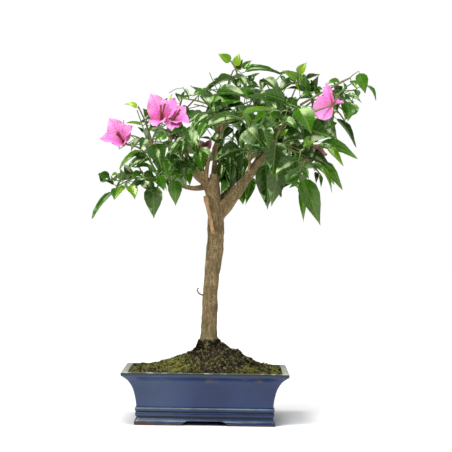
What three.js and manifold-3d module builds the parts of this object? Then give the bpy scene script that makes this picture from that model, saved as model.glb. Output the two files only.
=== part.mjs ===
// A flowering bougainvillea grown as a bonsai in a glazed rectangular pot, in millimetres, +Z up.
// The pot stands on four bracket feet. A mossy mound of soil fills it and carries a bare trunk that
// forks into boughs. Each bough ends where a mass of leafy twigs begins.
// Everything is laid out about the middle of the pot's underside, seen from the front along +Y.
// The last lines move the whole so that its own box stands centred on the origin.
import * as THREE from "three";
import { mergeVertices } from "three/addons/utils/BufferGeometryUtils.js";
import Module from "manifold-3d";

const wasm = await Module();
wasm.setup();

// Driving dimensions of the pot.
const POT_WIDTH = 220;
const POT_DEPTH = 165;
const POT_HEIGHT = 70;
const LIP_WIDTH = 9;
const LIP_THICKNESS = 3.5;
const WALL_INSET = 19.5; // how far the waist stands in from the lip
const FOOT_INSET = 17.5;
const WAIST_HEIGHT = 29; // where the hollow curve of the wall begins
const CURVE_RADIUS = 44; // of that hollow curve
const BEAD_LEVELS = [13.5, 19.3, 27]; // two rounded beads run round the pot between these levels
const GROOVE_INSET = 20.1; // of the grooves above and below the beads
const BEAD_BULGE = 2;
const FLOOR_TOP = 14;
const FLOOR_UNDERSIDE = 6.4;
const FOOT_WALL = 9; // thickness of the bracket feet
const CORNER_RADIUS = 3.5;
const CORNER_STEPS = 2;
const LONG_SIDE_GAP = { low: 34.6, high: 21.6 }; // half the gap between two feet, at its foot and its top
const SHORT_SIDE_GAP = { low: 24, high: 14 };

// Driving dimensions of the soil.
const SOIL_EDGE = 67.5; // level of the soil along the pot's wall
const MOUND_CENTRE = [8, 0];
const MOUND_RISE = 40; // how far the mound stands above that at the trunk
const MOUND_FALL = 45; // radius over which the mound loses most of its rise
const MOUND_REACH = 100;
const SOIL_CELLS = [10, 8];
const SOIL_BUMP = 1.3;
const SOIL_SEED = 5;

// Driving dimensions of the plant.
const CLEAR = 0.3; // gap between pieces that touch
const SHORTEST_EDGE = 0.01;
const TRUNK_SIDES = 10;
const LIMB_SIDES = 6;
const STEPS_PER_SPAN = 2; // rings between two points of a limb's line
const STEM_RADIUS = [2.4, 1.9]; // of a mass's own stem, at its foot and its tip
const STEM_START = 40; // bare length of a stem before its first leaf
const SHOOT_RADIUS = [1.2, 0.9];
const SHOOT_START = 12;
const SHOOT_FEET = [0.4, 0.97]; // where along the stem the first shoot leaves it, and the last
const SHOOT_SPREAD = [0.66, 0.78]; // how far a shoot with no leader reaches, as a share of the mass
const SIDE_TWIG_RADIUS = [0.7, 0.6];
const SIDE_TWIG_LENGTH = 30;
const SIDE_TWIG_START = 9;
const SIDE_TWIG_LIFT = 0.1;
const SIDE_LEAF_SIZE = 0.85; // of a leaf on a side twig, as a share of those on the shoots
const SHORTEST_TWIG = 12;
const TWIG_CUT = 0.12; // share that is cut from a twig at a time until it ends inside its mass
const SHOOT_LIFT = 0.16; // how high a shoot arches, as a share of its length
const LEAF_SPACING = 9;
const LEAF_ATTEMPTS = 5;
const ATTEMPT_TURN = 1.9; // about the twig, from one attempt to the next
const LEAF_VARIETY = [0.85, 1.15]; // spread of lengths and widths
const LEAF_SHRINK = 0.45; // how much shorter the last leaves of a twig are than the first
const LEAF_BEND = [0.3, 0.9]; // angle between a leaf's two halves
const LEAF_LEAN = [0.25, 0.6]; // how far a leaf leans along its twig
const YOUNG_END = 0.8; // leaves past this share of a twig are young
const YOUNG = 0.7; // how young they are, where 1 is the leaf at its very end
const END_LEAF_SIZE = 0.6;
const LEAF_SLENDERNESS = 0.47; // width over length
const LEAF_MIDDLE = 0.45; // where along a leaf it is widest
const LEAF_FOLD = 0.14; // how far the sides lift above the midrib, as a share of the width
const LEAF_THICKNESS = 0.018; // as a share of the length
const BLADE_ROOT = 0.15; // how far a leaf's foot is sunk past the middle of its twig
const LEAF_DROOP = 0.5; // how much leaves hang, against standing out from their twig
const FACING_UP = 0.5; // how much they look up, against out of the crown
const FACING_STRAY = 1.2;
const GOLDEN_ANGLE = Math.PI * (3 - Math.sqrt(5));
const LIMB_ROOM = 1.6; // least distance between a leaf and the face of a limb
const TWIG_ROOM = 0.8; // the same for the twigs of its own mass
const TWIG_SHADOW = 3.5; // a leaf may touch twigs within this distance of its foot
const SPACE_ROOM = 0.7; // each mass keeps this far inside the planes that part it from its neighbours
const STALK_RADIUS = [1.5, 1.1]; // of a flowering shoot
const BRACT_OFFSET = 0.6; // of a bract's foot from the end of its stalk
const BRACT_BEND = 0.3;
const SPIKE_RADII = [0.8, 1.7, 1.2]; // of the tube flowers, from their foot to their tip
const FLOWER_STALK_RADIUS = [0.6, 1.1]; // of a second flower's own stalk
const HANGING_BEND = 0.5;
const TOWARDS_VIEWER = [0, -1, 0.3];

// No leaf grows here: the crown's underside is open in front of the fork.
const FORK_WINDOW = { centre: [24, -62, 300], reach: [44, 66, 46] };
const CROWN_CENTRE = new THREE.Vector3(30, 40, 345);

// The trunk: points on its centre line as x, y, z and radius. It flares at its foot and is sawn off flat.
const TRUNK = [[3.4, 0, 94, 17], [3.5, 0, 104, 14.2], [3.7, 0, 113, 11.8], [4.3, 0, 138, 10.6],
  [5.4, 0, 186, 10.6], [9, 0, 219, 11], [11, 0, 260, 11.4], [9, 0, 292, 9.6], [7.4, 0, 331.5, 5.8]];

// Growths that belong to the trunk's own solid: the gnarled knuckle on its left and a dried, curled twig.
const TRUNK_GROWTHS = [
  { sides: 8, path: [[7, 0, 298], [1, 0, 311], [-9, 1, 334]], radius: [8.6, 4.8] },
  { sides: 3, path: [[-1, -3, 168], [-9, -4, 170], [-13, -4, 175], [-11, -4, 178.5]], radius: [1.3, 0.9] },
];

// Boughs: where each starts inside its parent, how it bends and where it ends, with its radius at both ends.
const BOUGHS = {
  bough_right: { sides: 8, path: [[11, 0, 272], [50, -4, 324], [92.6, -8, 387]], radius: [10.4, 4.8] },
  bough_left: { path: [[1, 0, 316], [-23.3, -5, 312.2], [-67.8, -14, 325]], radius: [5.2, 2.6] },
  bough_left_rising: { path: [[-50, -11, 319.5], [-58, -12, 336], [-68, -8, 356]], radius: [2.8, 2.2] },
  bough_upper_left: { path: [[-6, 0, 324], [-25, 5, 347], [-36, 8, 374], [-44, 7, 388]], radius: [5, 2.4] },
  bough_upright: { path: [[-3, -4, 318], [-1, -5, 345], [8.2, -1, 369], [17, 2, 422]], radius: [3.4, 2] },
  bough_far_right: { path: [[86, -7, 376], [104, -9, 402], [137, -13, 430]], radius: [4.2, 2.5] },
  bough_low_right: { path: [[74, -6, 355], [92, -10, 362], [112, -14, 364]], radius: [4.2, 2.7] },
  bough_front_right: { path: [[60, -5, 337], [68, -24, 350], [80, -48, 362]], radius: [4.2, 2.8] },
  bough_front_left: { path: [[-4, -2, 318], [-18, -20, 329], [-38, -54, 358]], radius: [4.4, 2.4] },
  bough_front_top: { path: [[6, -2, 364], [12, -16, 378], [20, -34, 390]], radius: [2.4, 2.1] },
  bough_back_left: { path: [[0, 3, 318], [-14, 26, 335], [-37, 58, 368]], radius: [5, 2.7] },
  bough_back_right: { path: [[12, 2, 284], [32, 34, 320], [58, 60, 356]], radius: [6.5, 3] },
  bough_back_top: { path: [[6, 2, 318], [9, 24, 354], [18, 48, 402]], radius: [4.4, 2.5] },
  bough_heart: { path: [[26, 24, 311], [29, 30, 321], [31, 34, 332]], radius: [3.6, 2.4] },
  cut_stub: { path: [[7.4, -8, 253], [6.5, -14, 258], [-4, -21, 301.3]], radius: [3.4, 2.6] },
  dead_spur: { path: [[54, -6, 332], [54.2, -12, 344], [56.5, -14, 363.8]], radius: [2.2, 1] },
};

// Flowering shoots: a slender stalk with its radii and the flowers on it. Each of a flower's three bracts
// is given by its tip, its width and the way its face looks. The spike is the tip of its tube flowers.
const FLOWERING_SHOOTS = {
  flowering_shoot_left: {
    path: [[-64, -13, 324], [-88.6, -23, 361], [-111.3, -25, 368.9]],
    flowers: [{
      at: [-111.3, -25, 368.9], spike: [-124, -46, 388],
      bracts: [
        { tip: [-132, -34, 402.7], width: 30, facing: [0.2, -1, -0.2] },
        { tip: [-143.1, -44, 376.4], width: 25, facing: [-0.1, -0.8, 0.6] },
        { tip: [-102.6, -50, 392.2], width: 24, facing: [-1, -0.4, 0.1] },
      ],
    }],
  },
  flowering_shoot_upper_left: {
    path: [[-60, -11, 340], [-75.1, -20, 371], [-63.5, -22, 400.7]],
    flowers: [{
      at: [-63.5, -22, 400.7], spike: [-61, -40, 424],
      bracts: [
        { tip: [-77.1, -27, 436.8], width: 30, facing: [0.3, -1, 0] },
        { tip: [-46, -6, 433], width: 27, facing: [-0.3, -1, 0.3] },
        { tip: [-69, -53, 393], width: 27, facing: [0, 0.6, 0.8] },
      ],
    }, {
      at: [-48.3, -22, 400.9], spike: [-38.5, -43, 413], stalk_from: [-69.5, -21.5, 388],
      bracts: [
        { tip: [-31.6, -20, 421], width: 22, facing: [-0.3, -1, 0.2] },
        { tip: [-26.5, -42, 400.3], width: 23, facing: [-0.2, -0.6, 0.8] },
        { tip: [-49, -46, 388], width: 24, facing: [0.2, -0.8, 0.6] },
      ],
    }],
  },
  flowering_shoot_right: {
    path: [[99, -9, 395], [108, -42, 402], [133.6, -75, 413.9]],
    flowers: [{
      at: [133.6, -75, 413.9], spike: [164.2, -72, 434.3],
      bracts: [
        { tip: [165, -92, 416], width: 32, facing: [-0.2, -1, 0.1] },
        { tip: [151.7, -75, 450.3], width: 22, facing: [0.9, -0.5, -0.3] },
        { tip: [175.6, -58, 428.5], width: 24, facing: [0.2, -0.5, 0.8] },
      ],
    }],
  },
  flowering_shoot_low_right: {
    path: [[104, -12, 363.5], [122, -2, 372], [141, 2, 361]],
    flowers: [{
      at: [141, 2, 361], spike: [151, -4, 365],
      bracts: [
        { tip: [154, -2, 374], width: 13, facing: [0, -1, 0] },
        { tip: [160, 4, 360], width: 13, facing: [0, -1, 0.5] },
        { tip: [148, -12, 352], width: 13, facing: [0.3, -0.8, 0.4] },
      ],
    }],
  },
  flowering_shoot_inner: {
    path: [[0, -4, 350], [-5, 2, 357], [-6, 6, 363]],
    flowers: [{
      at: [-6, 6, 363], spike: [-4, 0, 372],
      bracts: [
        { tip: [3, 2, 378], width: 11, facing: [0, -1, 0] },
        { tip: [-13, 0, 377], width: 11, facing: [0.4, -1, 0] },
        { tip: [-3, -9, 368], width: 11, facing: [0, -0.6, 0.8] },
      ],
    }],
  },
};

// Masses of foliage. Each grows from the tip of its own bough and fills the space about its centre.
// leaders are the ends of its outermost shoots, and hanging are the large leaves that edge the crown,
// each from its foot to its tip with its width.
const MASSES = {
  foliage_left_low: {
    bough: "bough_left", centre: [-100, -18, 326], reach: [62, 46, 44], leaf: 34, seed: 11, shoots: 5,
    leaders: [[-141, -20, 318], [-122, -26, 312], [-86, -36, 322], [-100, -8, 348]],
    hanging: [{ foot: [-122, -21, 308], tip: [-152.8, -20, 268.6], width: 15 },
      { foot: [-73, -33, 318], tip: [-71.2, -30, 271], width: 25 },
      { foot: [-92, -32, 322], tip: [-98.3, -25, 296], width: 14 },
      { foot: [-122, -24, 312], tip: [-124.9, -25, 294.3], width: 12 },
      { foot: [-66, -32, 330], tip: [-55, -34, 303], width: 16 },
      { foot: [-138, -20, 318], tip: [-146, -24, 331], width: 9 },
      { foot: [-118, -20, 320], tip: [-111, -26, 333], width: 12 }],
  },
  foliage_left: {
    bough: "bough_left_rising", centre: [-92, 6, 386], reach: [56, 52, 62], leaf: 40, seed: 22, shoots: 6,
    leaders: [[-95, -15, 420], [-116, 6, 384], [-88, 30, 402], [-66, -30, 378]],
    hanging: [{ foot: [-94.7, -15, 415], tip: [-113.9, -15, 421.4], width: 9 }],
  },
  foliage_upper_left: {
    bough: "bough_upper_left", centre: [-38, 0, 408], reach: [48, 46, 46], leaf: 36, seed: 33, shoots: 5,
    leaders: [[-37, -4, 431], [-14, -10, 438], [-58, 18, 424], [-34, -30, 402], [-10, -20, 400]], hanging: [],
  },
  foliage_top: {
    bough: "bough_upright", centre: [28, -4, 452], reach: [62, 46, 50], leaf: 36, seed: 46, shoots: 6,
    leaders: [[31, -5, 470], [4, -4, 444], [53, -13, 466], [22, -32, 446], [14, 24, 452]],
    hanging: [{ foot: [27, -5, 474], tip: [9.9, -5, 492.9], width: 18 },
      { foot: [34, -9, 474], tip: [38.7, -6, 493.3], width: 12 },
      { foot: [42, -5, 472], tip: [56.2, -3, 484.9], width: 9 },
      { foot: [50, -14, 468], tip: [95, -20, 462.7], width: 13, facing: [0, -0.6, 0.8], bend: 1 }],
  },
  foliage_top_right: {
    bough: "bough_right", centre: [108, -4, 432], reach: [56, 50, 54], leaf: 42, seed: 55, shoots: 6,
    leaders: [[121, -10, 460], [88, -12, 456], [140, 6, 454], [100, -36, 424], [104, 32, 440]],
    hanging: [{ foot: [121, -10, 461], tip: [129.8, -10, 482.7], width: 13 },
      { foot: [119, -11, 458], tip: [96, -14, 471], width: 12 }],
  },
  foliage_right: {
    bough: "bough_far_right", centre: [176, -8, 420], reach: [52, 50, 60], leaf: 38, seed: 66, shoots: 7,
    leaders: [[187, -15, 462], [194, -8, 446], [190, 4, 412], [168, 28, 432], [162, -34, 396],
      [152, -20, 388]],
    hanging: [{ foot: [190, -15, 464], tip: [208, -15, 441], width: 26 },
      { foot: [208, -8, 454], tip: [222.8, -10, 433], width: 9 },
      { foot: [166, -10, 411], tip: [194.3, -10, 368.6], width: 15 }],
  },
  foliage_right_low: {
    bough: "bough_low_right", centre: [140, -10, 340], reach: [62, 54, 60], leaf: 50, seed: 77, shoots: 7,
    leaders: [[138, -20, 371], [156, -10, 342], [120, -30, 334], [164, 12, 358], [126, 24, 336],
      [150, -30, 330]],
    hanging: [{ foot: [120, -31, 333], tip: [149.2, -30, 264.9], width: 25 },
      { foot: [122, -26, 318], tip: [125.7, -22, 270], width: 12 },
      { foot: [140, -20, 370], tip: [195.1, -20, 353.5], width: 20 },
      { foot: [134, -18, 345], tip: [177, -20, 313.2], width: 20 }],
  },
  foliage_front_right: {
    bough: "bough_front_right", centre: [92, -76, 372], reach: [60, 50, 70], leaf: 54, seed: 88, shoots: 7,
    leaders: [[84, -56, 350], [126, -84, 376], [62, -90, 372], [100, -104, 400], [132, -70, 350]],
    hanging: [{ foot: [74, -52, 350], tip: [78.3, -46, 285], width: 27 },
      { foot: [96, -56, 352], tip: [84.1, -50, 289], width: 25 },
      { foot: [116, -82, 392], tip: [160, -84, 378], width: 30, facing: [0, -0.8, 0.6] }],
  },
  foliage_front_left: {
    bough: "bough_front_left", centre: [-50, -74, 366], reach: [56, 50, 60], leaf: 50, seed: 103, shoots: 6,
    leaders: [[-46, -52, 328], [-84, -74, 366], [-30, -100, 376], [-60, -92, 388]],
    hanging: [{ foot: [-44, -50, 325], tip: [-42.2, -48, 287.4], width: 19 }],
  },
  foliage_front_top: {
    bough: "bough_front_top", centre: [32, -70, 406], reach: [66, 52, 54], leaf: 50, seed: 110, shoots: 6,
    leaders: [[-12, -64, 408], [66, -58, 420], [22, -104, 404], [24, -56, 434], [60, -84, 398]], hanging: [],
  },
  foliage_heart: {
    bough: "bough_heart", centre: [26, 42, 350], reach: [50, 34, 56], leaf: 46, seed: 115, shoots: 5,
    leaders: [[20, 28, 342], [46, 26, 366], [0, 34, 356], [32, 30, 384], [34, 28, 330]],
    hanging: [{ foot: [44, 28, 314], tip: [47.2, 26, 291], width: 14 },
      { foot: [24, 28, 350], tip: [19, 26, 311], width: 18 },
      { foot: [36, 24, 352], tip: [43, 22, 324], width: 15 }],
  },
  foliage_back_left: {
    bough: "bough_back_left", centre: [-56, 80, 374], reach: [66, 56, 70], leaf: 52, seed: 121, shoots: 6,
    leaders: [[-104, 70, 372], [-52, 122, 378], [-70, 86, 424], [-36, 60, 334], [-14, 56, 362]],
    hanging: [{ foot: [-10, 52, 366], tip: [-12, 48, 332], width: 20 }],
  },
  foliage_back_right: {
    bough: "bough_back_right", centre: [96, 86, 366], reach: [70, 52, 76], leaf: 54, seed: 132, shoots: 6,
    leaders: [[150, 74, 376], [100, 126, 368], [50, 76, 330], [120, 96, 420], [84, 70, 312]], hanging: [],
  },
  foliage_back_top: {
    bough: "bough_back_top", centre: [26, 78, 424], reach: [64, 54, 56], leaf: 48, seed: 143, shoots: 6,
    leaders: [[-22, 76, 430], [74, 78, 440], [24, 120, 420], [28, 68, 464]], hanging: [],
  },
};

// Colours as they look in daylight.
const FINISHES = {
  pot: { color: 0x34477f, roughness: 0.25, metalness: 0 },
  soil: { color: 0x3a3a1c, roughness: 0.95, metalness: 0 },
  bark: { color: 0x8b7656, roughness: 0.85, metalness: 0 },
  cut_wood: { color: 0xc49a5e, roughness: 0.7, metalness: 0 },
  leaf: { color: 0x2f6b1f, roughness: 0.4, metalness: 0 },
  bract: { color: 0xe95bd0, roughness: 0.6, metalness: 0 },
};

const vector = ([x, y, z]) => new THREE.Vector3(x, y, z);
const between = (a, b, share) => a + (b - a) * share;

// Random numbers from 0 to 1 that are the same on every run.
function randomFrom(seed) {
  let state = seed * 7919;
  return () => {
    state = (state * 48271) % 2147483647;
    return state / 2147483647;
  };
}

// Solids and geometries.

function solidOf(geometry) {
  const bare = new THREE.BufferGeometry();
  bare.setAttribute("position", geometry.getAttribute("position"));
  if (geometry.index) bare.setIndex(geometry.index);
  const merged = mergeVertices(bare, 1e-4);
  return new wasm.Manifold(new wasm.Mesh({
    numProp: 3,
    vertProperties: merged.attributes.position.array,
    triVerts: new Uint32Array(merged.index.array),
  }));
}

function geometryOf(solid) {
  const mesh = solid.getMesh();
  const geometry = new THREE.BufferGeometry();
  geometry.setAttribute("position", new THREE.BufferAttribute(mesh.vertProperties, 3));
  geometry.setIndex(new THREE.BufferAttribute(mesh.triVerts, 1));
  geometry.computeVertexNormals();
  return geometry;
}

function geometryFrom(points, faces) {
  const geometry = new THREE.BufferGeometry();
  const numbers = points.flatMap((p) => [p.x, p.y, p.z]);
  geometry.setAttribute("position", new THREE.Float32BufferAttribute(numbers, 3));
  geometry.setIndex(faces.flat());
  return geometry;
}

// A closed skin over rings of equally many points, each ring anticlockwise seen from the end.
function loft(rings) {
  const count = rings[0].length;
  const last = (rings.length - 1) * count;
  const faces = [];
  for (let i = 0; i + 1 < rings.length; i++) {
    for (let j = 0; j < count; j++) {
      const a = i * count + j;
      const b = i * count + ((j + 1) % count);
      faces.push([a, b, b + count], [a, b + count, a + count]);
    }
  }
  for (let j = 1; j + 1 < count; j++) faces.push([0, j + 1, j], [last, last + j, last + j + 1]);
  return geometryFrom(rings.flat(), faces);
}

// A path with a radius that tapers evenly along it, as points with the radius as fourth number.
function tapering(path, [first, last]) {
  return path.map((point, i) => [...point, between(first, last, i / (path.length - 1))]);
}

const smooth = (points) => new THREE.CatmullRomCurve3(points, false, "catmullrom", 0.5);

// A tapering tube of round section along a line of points, each with its radius as fourth number.
function tube(line, sides, steps, extra = 0) {
  const curve = smooth(line.map(vector));
  const radii = smooth(line.map((p) => new THREE.Vector3(p[3], 0, 0)));
  const centres = Array.from({ length: steps + 1 }, (_, i) => curve.getPoint(i / steps));
  const rings = [];
  let across = new THREE.Vector3(1, 0, 0);
  centres.forEach((centre, i) => {
    const ahead = centres[Math.min(i + 1, steps)].clone().sub(centres[Math.max(i - 1, 0)]).normalize();
    if (i === 0 && Math.abs(ahead.x) > 0.9) across.set(0, 1, 0);
    across = across.clone().addScaledVector(ahead, -across.dot(ahead)).normalize();
    const up = ahead.clone().cross(across);
    const radius = radii.getPoint(i / steps).x + extra;
    rings.push(Array.from({ length: sides }, (_, j) => {
      const turn = (2 * Math.PI * j) / sides;
      return centre.clone().addScaledVector(across, radius * Math.cos(turn))
        .addScaledVector(up, radius * Math.sin(turn));
    }));
  });
  return solidOf(loft(rings));
}

const join = (solids) => wasm.Manifold.union(solids);

// The largest single body of a solid, without its shortest edges. What a cut leaves loose is dropped.
function mainBody(solid) {
  const bodies = solid.simplify(SHORTEST_EDGE).decompose();
  return bodies.reduce((best, body) => (body.volume() > best.volume() ? body : best));
}

// The pot.

// A level rectangle with round corners, inset from the lip's outer edge.
function potRing(inset, level) {
  const halfWidth = POT_WIDTH / 2 - inset - CORNER_RADIUS;
  const halfDepth = POT_DEPTH / 2 - inset - CORNER_RADIUS;
  const corners = [[1, 1], [-1, 1], [-1, -1], [1, -1]];
  return corners.flatMap(([sx, sy], quarter) => Array.from({ length: CORNER_STEPS + 1 }, (_, step) => {
    const turn = (Math.PI / 2) * (quarter + step / CORNER_STEPS);
    return new THREE.Vector3(
      sx * halfWidth + CORNER_RADIUS * Math.cos(turn),
      sy * halfDepth + CORNER_RADIUS * Math.sin(turn),
      level,
    );
  }));
}

// The outside of the wall as [inset, level], from the feet up: foot, two beads, hollow curve and lip.
function wallProfile() {
  const profile = [[FOOT_INSET, 0], [FOOT_INSET + 0.3, 6], [GROOVE_INSET, BEAD_LEVELS[0] - 1.6]];
  for (let bead = 0; bead < 2; bead++) {
    const low = BEAD_LEVELS[bead];
    const high = BEAD_LEVELS[bead + 1];
    for (const share of [0, 0.3, 0.7]) {
      profile.push([GROOVE_INSET - BEAD_BULGE * Math.sin(Math.PI * share), between(low, high, share)]);
    }
  }
  profile.push([WALL_INSET + 0.4, BEAD_LEVELS[2]]);
  const curveRise = POT_HEIGHT - LIP_THICKNESS - 3 - WAIST_HEIGHT;
  for (let step = 0; step <= 5; step++) {
    const angle = (Math.asin(curveRise / CURVE_RADIUS) * step) / 5;
    const inset = WALL_INSET - CURVE_RADIUS * (1 - Math.cos(angle));
    profile.push([inset, WAIST_HEIGHT + CURVE_RADIUS * Math.sin(angle)]);
  }
  profile.push([0.4, POT_HEIGHT - LIP_THICKNESS], [0, POT_HEIGHT - 2]);
  profile.push([0.8, POT_HEIGHT - 0.5], [2, POT_HEIGHT]);
  return profile;
}

// The inside of the wall as [inset, level], from the lip down to the floor.
function cavityProfile(gap) {
  const inner = [[LIP_WIDTH - 1.2, POT_HEIGHT], [LIP_WIDTH, POT_HEIGHT - 1.4], [LIP_WIDTH + 5.5, 60],
    [LIP_WIDTH + 12, 48], [LIP_WIDTH + 16.5, 32], [LIP_WIDTH + 18, FLOOR_TOP]];
  const floor = inner.length - 1;
  return inner.map(([inset, level], i) => [inset + gap, i === floor ? level + gap : level]);
}

function cavitySolid(gap, headroom) {
  const profile = cavityProfile(gap);
  const rings = profile.reverse().map(([inset, level]) => potRing(inset, level));
  rings.push(potRing(LIP_WIDTH - 1.2 + gap, POT_HEIGHT + headroom));
  return solidOf(loft(rings));
}

// The passage between two feet: an outline across the gap, pushed through the pot.
function footPassage(gap, alongX) {
  const outline = new THREE.Shape();
  const across = (share) => between(gap.low, gap.high, share);
  const middle = FLOOR_UNDERSIDE / 2;
  const [belowMiddle, aboveMiddle] = [middle * 0.5, middle * 1.9];
  outline.moveTo(-gap.low, -1);
  outline.lineTo(gap.low, -1);
  outline.lineTo(gap.low, 0);
  outline.quadraticCurveTo(across(0.2), belowMiddle, across(0.5), middle);
  outline.quadraticCurveTo(across(0.8), aboveMiddle, gap.high, FLOOR_UNDERSIDE);
  outline.lineTo(-gap.high, FLOOR_UNDERSIDE);
  outline.quadraticCurveTo(-across(0.8), aboveMiddle, -across(0.5), middle);
  outline.quadraticCurveTo(-across(0.2), belowMiddle, -gap.low, 0);
  const length = POT_WIDTH + 20;
  const settings = { depth: length, bevelEnabled: false, curveSegments: 3 };
  const geometry = new THREE.ExtrudeGeometry(outline, settings);
  geometry.translate(0, 0, -length / 2).rotateX(Math.PI / 2);
  if (alongX) geometry.rotateZ(Math.PI / 2);
  return solidOf(geometry);
}

function potSolid() {
  const outside = solidOf(loft(wallProfile().map(([inset, level]) => potRing(inset, level))));
  const recess = solidOf(loft([-1, FLOOR_UNDERSIDE].map((level) => potRing(FOOT_INSET + FOOT_WALL, level))));
  return outside.subtract(cavitySolid(0, 10)).subtract(recess)
    .subtract(footPassage(LONG_SIDE_GAP, false)).subtract(footPassage(SHORT_SIDE_GAP, true));
}

// The soil: a lumpy mound that fills the cavity and rises to the trunk.

function soilLevel(x, y, random) {
  const distance = Math.hypot(x - MOUND_CENTRE[0], 1.25 * (y - MOUND_CENTRE[1]));
  const fade = Math.max(0, 1 - (distance / MOUND_REACH) ** 6);
  return SOIL_EDGE + MOUND_RISE * Math.exp(-Math.max(0, distance - 9) / MOUND_FALL) * fade
    + SOIL_BUMP * (2 * random() - 1);
}

function soilSolid(seat) {
  const random = randomFrom(SOIL_SEED);
  const [columns, rows] = SOIL_CELLS;
  const top = [];
  for (let row = 0; row <= rows; row++) {
    for (let column = 0; column <= columns; column++) {
      const x = between(-POT_WIDTH / 2, POT_WIDTH / 2, column / columns);
      const y = between(-POT_DEPTH / 2, POT_DEPTH / 2, row / rows);
      top.push(new THREE.Vector3(x, y, soilLevel(x, y, random)));
    }
  }
  const bottom = top.map((p) => new THREE.Vector3(p.x, p.y, 0));
  const below = top.length;
  const at = (column, row) => row * (columns + 1) + column;
  const faces = [];
  for (let row = 0; row < rows; row++) {
    for (let column = 0; column < columns; column++) {
      const [a, b] = [at(column, row), at(column + 1, row)];
      const [c, d] = [at(column + 1, row + 1), at(column, row + 1)];
      faces.push([a, b, c], [a, c, d], [a + below, c + below, b + below], [a + below, d + below, c + below]);
    }
  }
  const wall = (a, b) => faces.push([a, a + below, b + below], [a, b + below, b]);
  for (let column = 0; column < columns; column++) {
    wall(at(column, 0), at(column + 1, 0));
    wall(at(column + 1, rows), at(column, rows));
  }
  for (let row = 0; row < rows; row++) {
    wall(at(columns, row), at(columns, row + 1));
    wall(at(0, row + 1), at(0, row));
  }
  const block = solidOf(geometryFrom([...top, ...bottom], faces));
  return mainBody(block.intersect(cavitySolid(CLEAR, 60)).subtract(seat));
}

// Limbs and flowers.

const stepsOf = (line) => Math.round((line.length - 1) * STEPS_PER_SPAN);

function limbTube({ path, radius, sides = LIMB_SIDES }, extra) {
  return tube(tapering(path, radius), sides, stepsOf(path), extra);
}

function trunkSolid(extra = 0) {
  const stem = tube(TRUNK, TRUNK_SIDES, stepsOf(TRUNK), extra);
  return join([stem, ...TRUNK_GROWTHS.map((growth) => limbTube(growth, extra))]);
}

// A leaf or bract: a folded blade of eight faces whose foot lies inside its twig.
function bladeSolid(leaf) {
  const { middle, tip, left, right } = bladeCorners(leaf);
  const foot = leaf.foot.clone().addScaledVector(leaf.ahead, -BLADE_ROOT);
  const half = (leaf.length * LEAF_THICKNESS) / 2;
  const upper = middle.clone().addScaledVector(leaf.normal, half);
  const lower = middle.clone().addScaledVector(leaf.normal, -half);
  return solidOf(geometryFrom([foot, right, tip, left, upper, lower], [
    [0, 1, 4], [1, 2, 4], [2, 3, 4], [3, 0, 4], [1, 0, 5], [2, 1, 5], [3, 2, 5], [0, 3, 5],
  ]));
}

// The corners of a blade that starts at its foot, runs ahead and bends down past its middle.
function bladeCorners({ foot, ahead, normal, length, width, bend }) {
  const side = normal.clone().cross(ahead).normalize();
  const middle = foot.clone().addScaledVector(ahead, LEAF_MIDDLE * length);
  const down = ahead.clone().multiplyScalar(Math.cos(bend)).addScaledVector(normal, -Math.sin(bend));
  const tip = middle.clone().addScaledVector(down, (1 - LEAF_MIDDLE) * length);
  const lifted = middle.clone().addScaledVector(normal, LEAF_FOLD * width);
  const left = lifted.clone().addScaledVector(side, width / 2);
  const right = lifted.clone().addScaledVector(side, -width / 2);
  return { middle, tip, left, right };
}

// Two unit vectors square to an axis and to each other.
function squareTo(axis) {
  const first = new THREE.Vector3(0, 0, 1);
  if (Math.abs(axis.z) > 0.9) first.set(1, 0, 0);
  first.addScaledVector(axis, -first.dot(axis)).normalize();
  return [first, axis.clone().cross(first)];
}

// A blade from its foot to its tip, bent by a given angle at its middle, with its face looking a given way.
function bladeTo({ foot, tip, width, facing, bend }) {
  const start = vector(foot);
  const chord = vector(tip).sub(start);
  const normal = squared(vector(facing), chord);
  const raise = bend * (1 - LEAF_MIDDLE);
  const ahead = chord.clone().normalize().multiplyScalar(Math.cos(raise));
  ahead.addScaledVector(normal, Math.sin(raise));
  const length = chord.length() * (1 + 0.12 * bend * bend);
  return { foot: start, ahead, normal: squared(normal, ahead), length, width, bend };
}

// The part of one direction that is square to another, as a unit vector.
function squared(direction, axis) {
  const unit = axis.clone().normalize();
  return direction.clone().addScaledVector(unit, -direction.dot(unit)).normalize();
}

// A flower's three bracts, which stand about the end of its stalk.
function flowerBlades({ at, bracts }) {
  return bracts.map(({ tip, width, facing }) => {
    const outward = vector(tip).sub(vector(at)).setLength(BRACT_OFFSET);
    return bladeTo({ foot: vector(at).add(outward).toArray(), tip, width, facing, bend: BRACT_BEND });
  });
}

// The bracts with one spike between them, which stands for their small tube flowers.
function flowerSolids(flower) {
  const foot = vector(flower.at);
  const way = vector(flower.spike).sub(foot).normalize();
  const before = foot.clone().addScaledVector(way, -1.5);
  const after = foot.clone().addScaledVector(way, 0.8);
  const line = [before, after, flower.spike].map((point, i) => [...point, SPIKE_RADII[i]]);
  const spike = tube(line, 3, 2);
  return [spike, ...flowerBlades(flower).map(bladeSolid)];
}

function floweringShootSolid(shoot) {
  const pieces = [tube(tapering(shoot.path, STALK_RADIUS), 3, stepsOf(shoot.path))];
  for (const flower of shoot.flowers) {
    pieces.push(...flowerSolids(flower));
    if (flower.stalk_from) {
      pieces.push(tube(tapering([flower.stalk_from, flower.at], FLOWER_STALK_RADIUS), 3, 1));
    }
  }
  return join(pieces);
}

// The space of a mass, and what its twigs and leaves have to keep clear of.

const NAMES = Object.keys(MASSES);

// How far a mass reaches from its centre in a given direction.
function reachAlong(mass, direction) {
  const [x, y, z] = mass.reach;
  return 1 / Math.hypot(direction.x / x, direction.y / y, direction.z / z);
}

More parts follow.
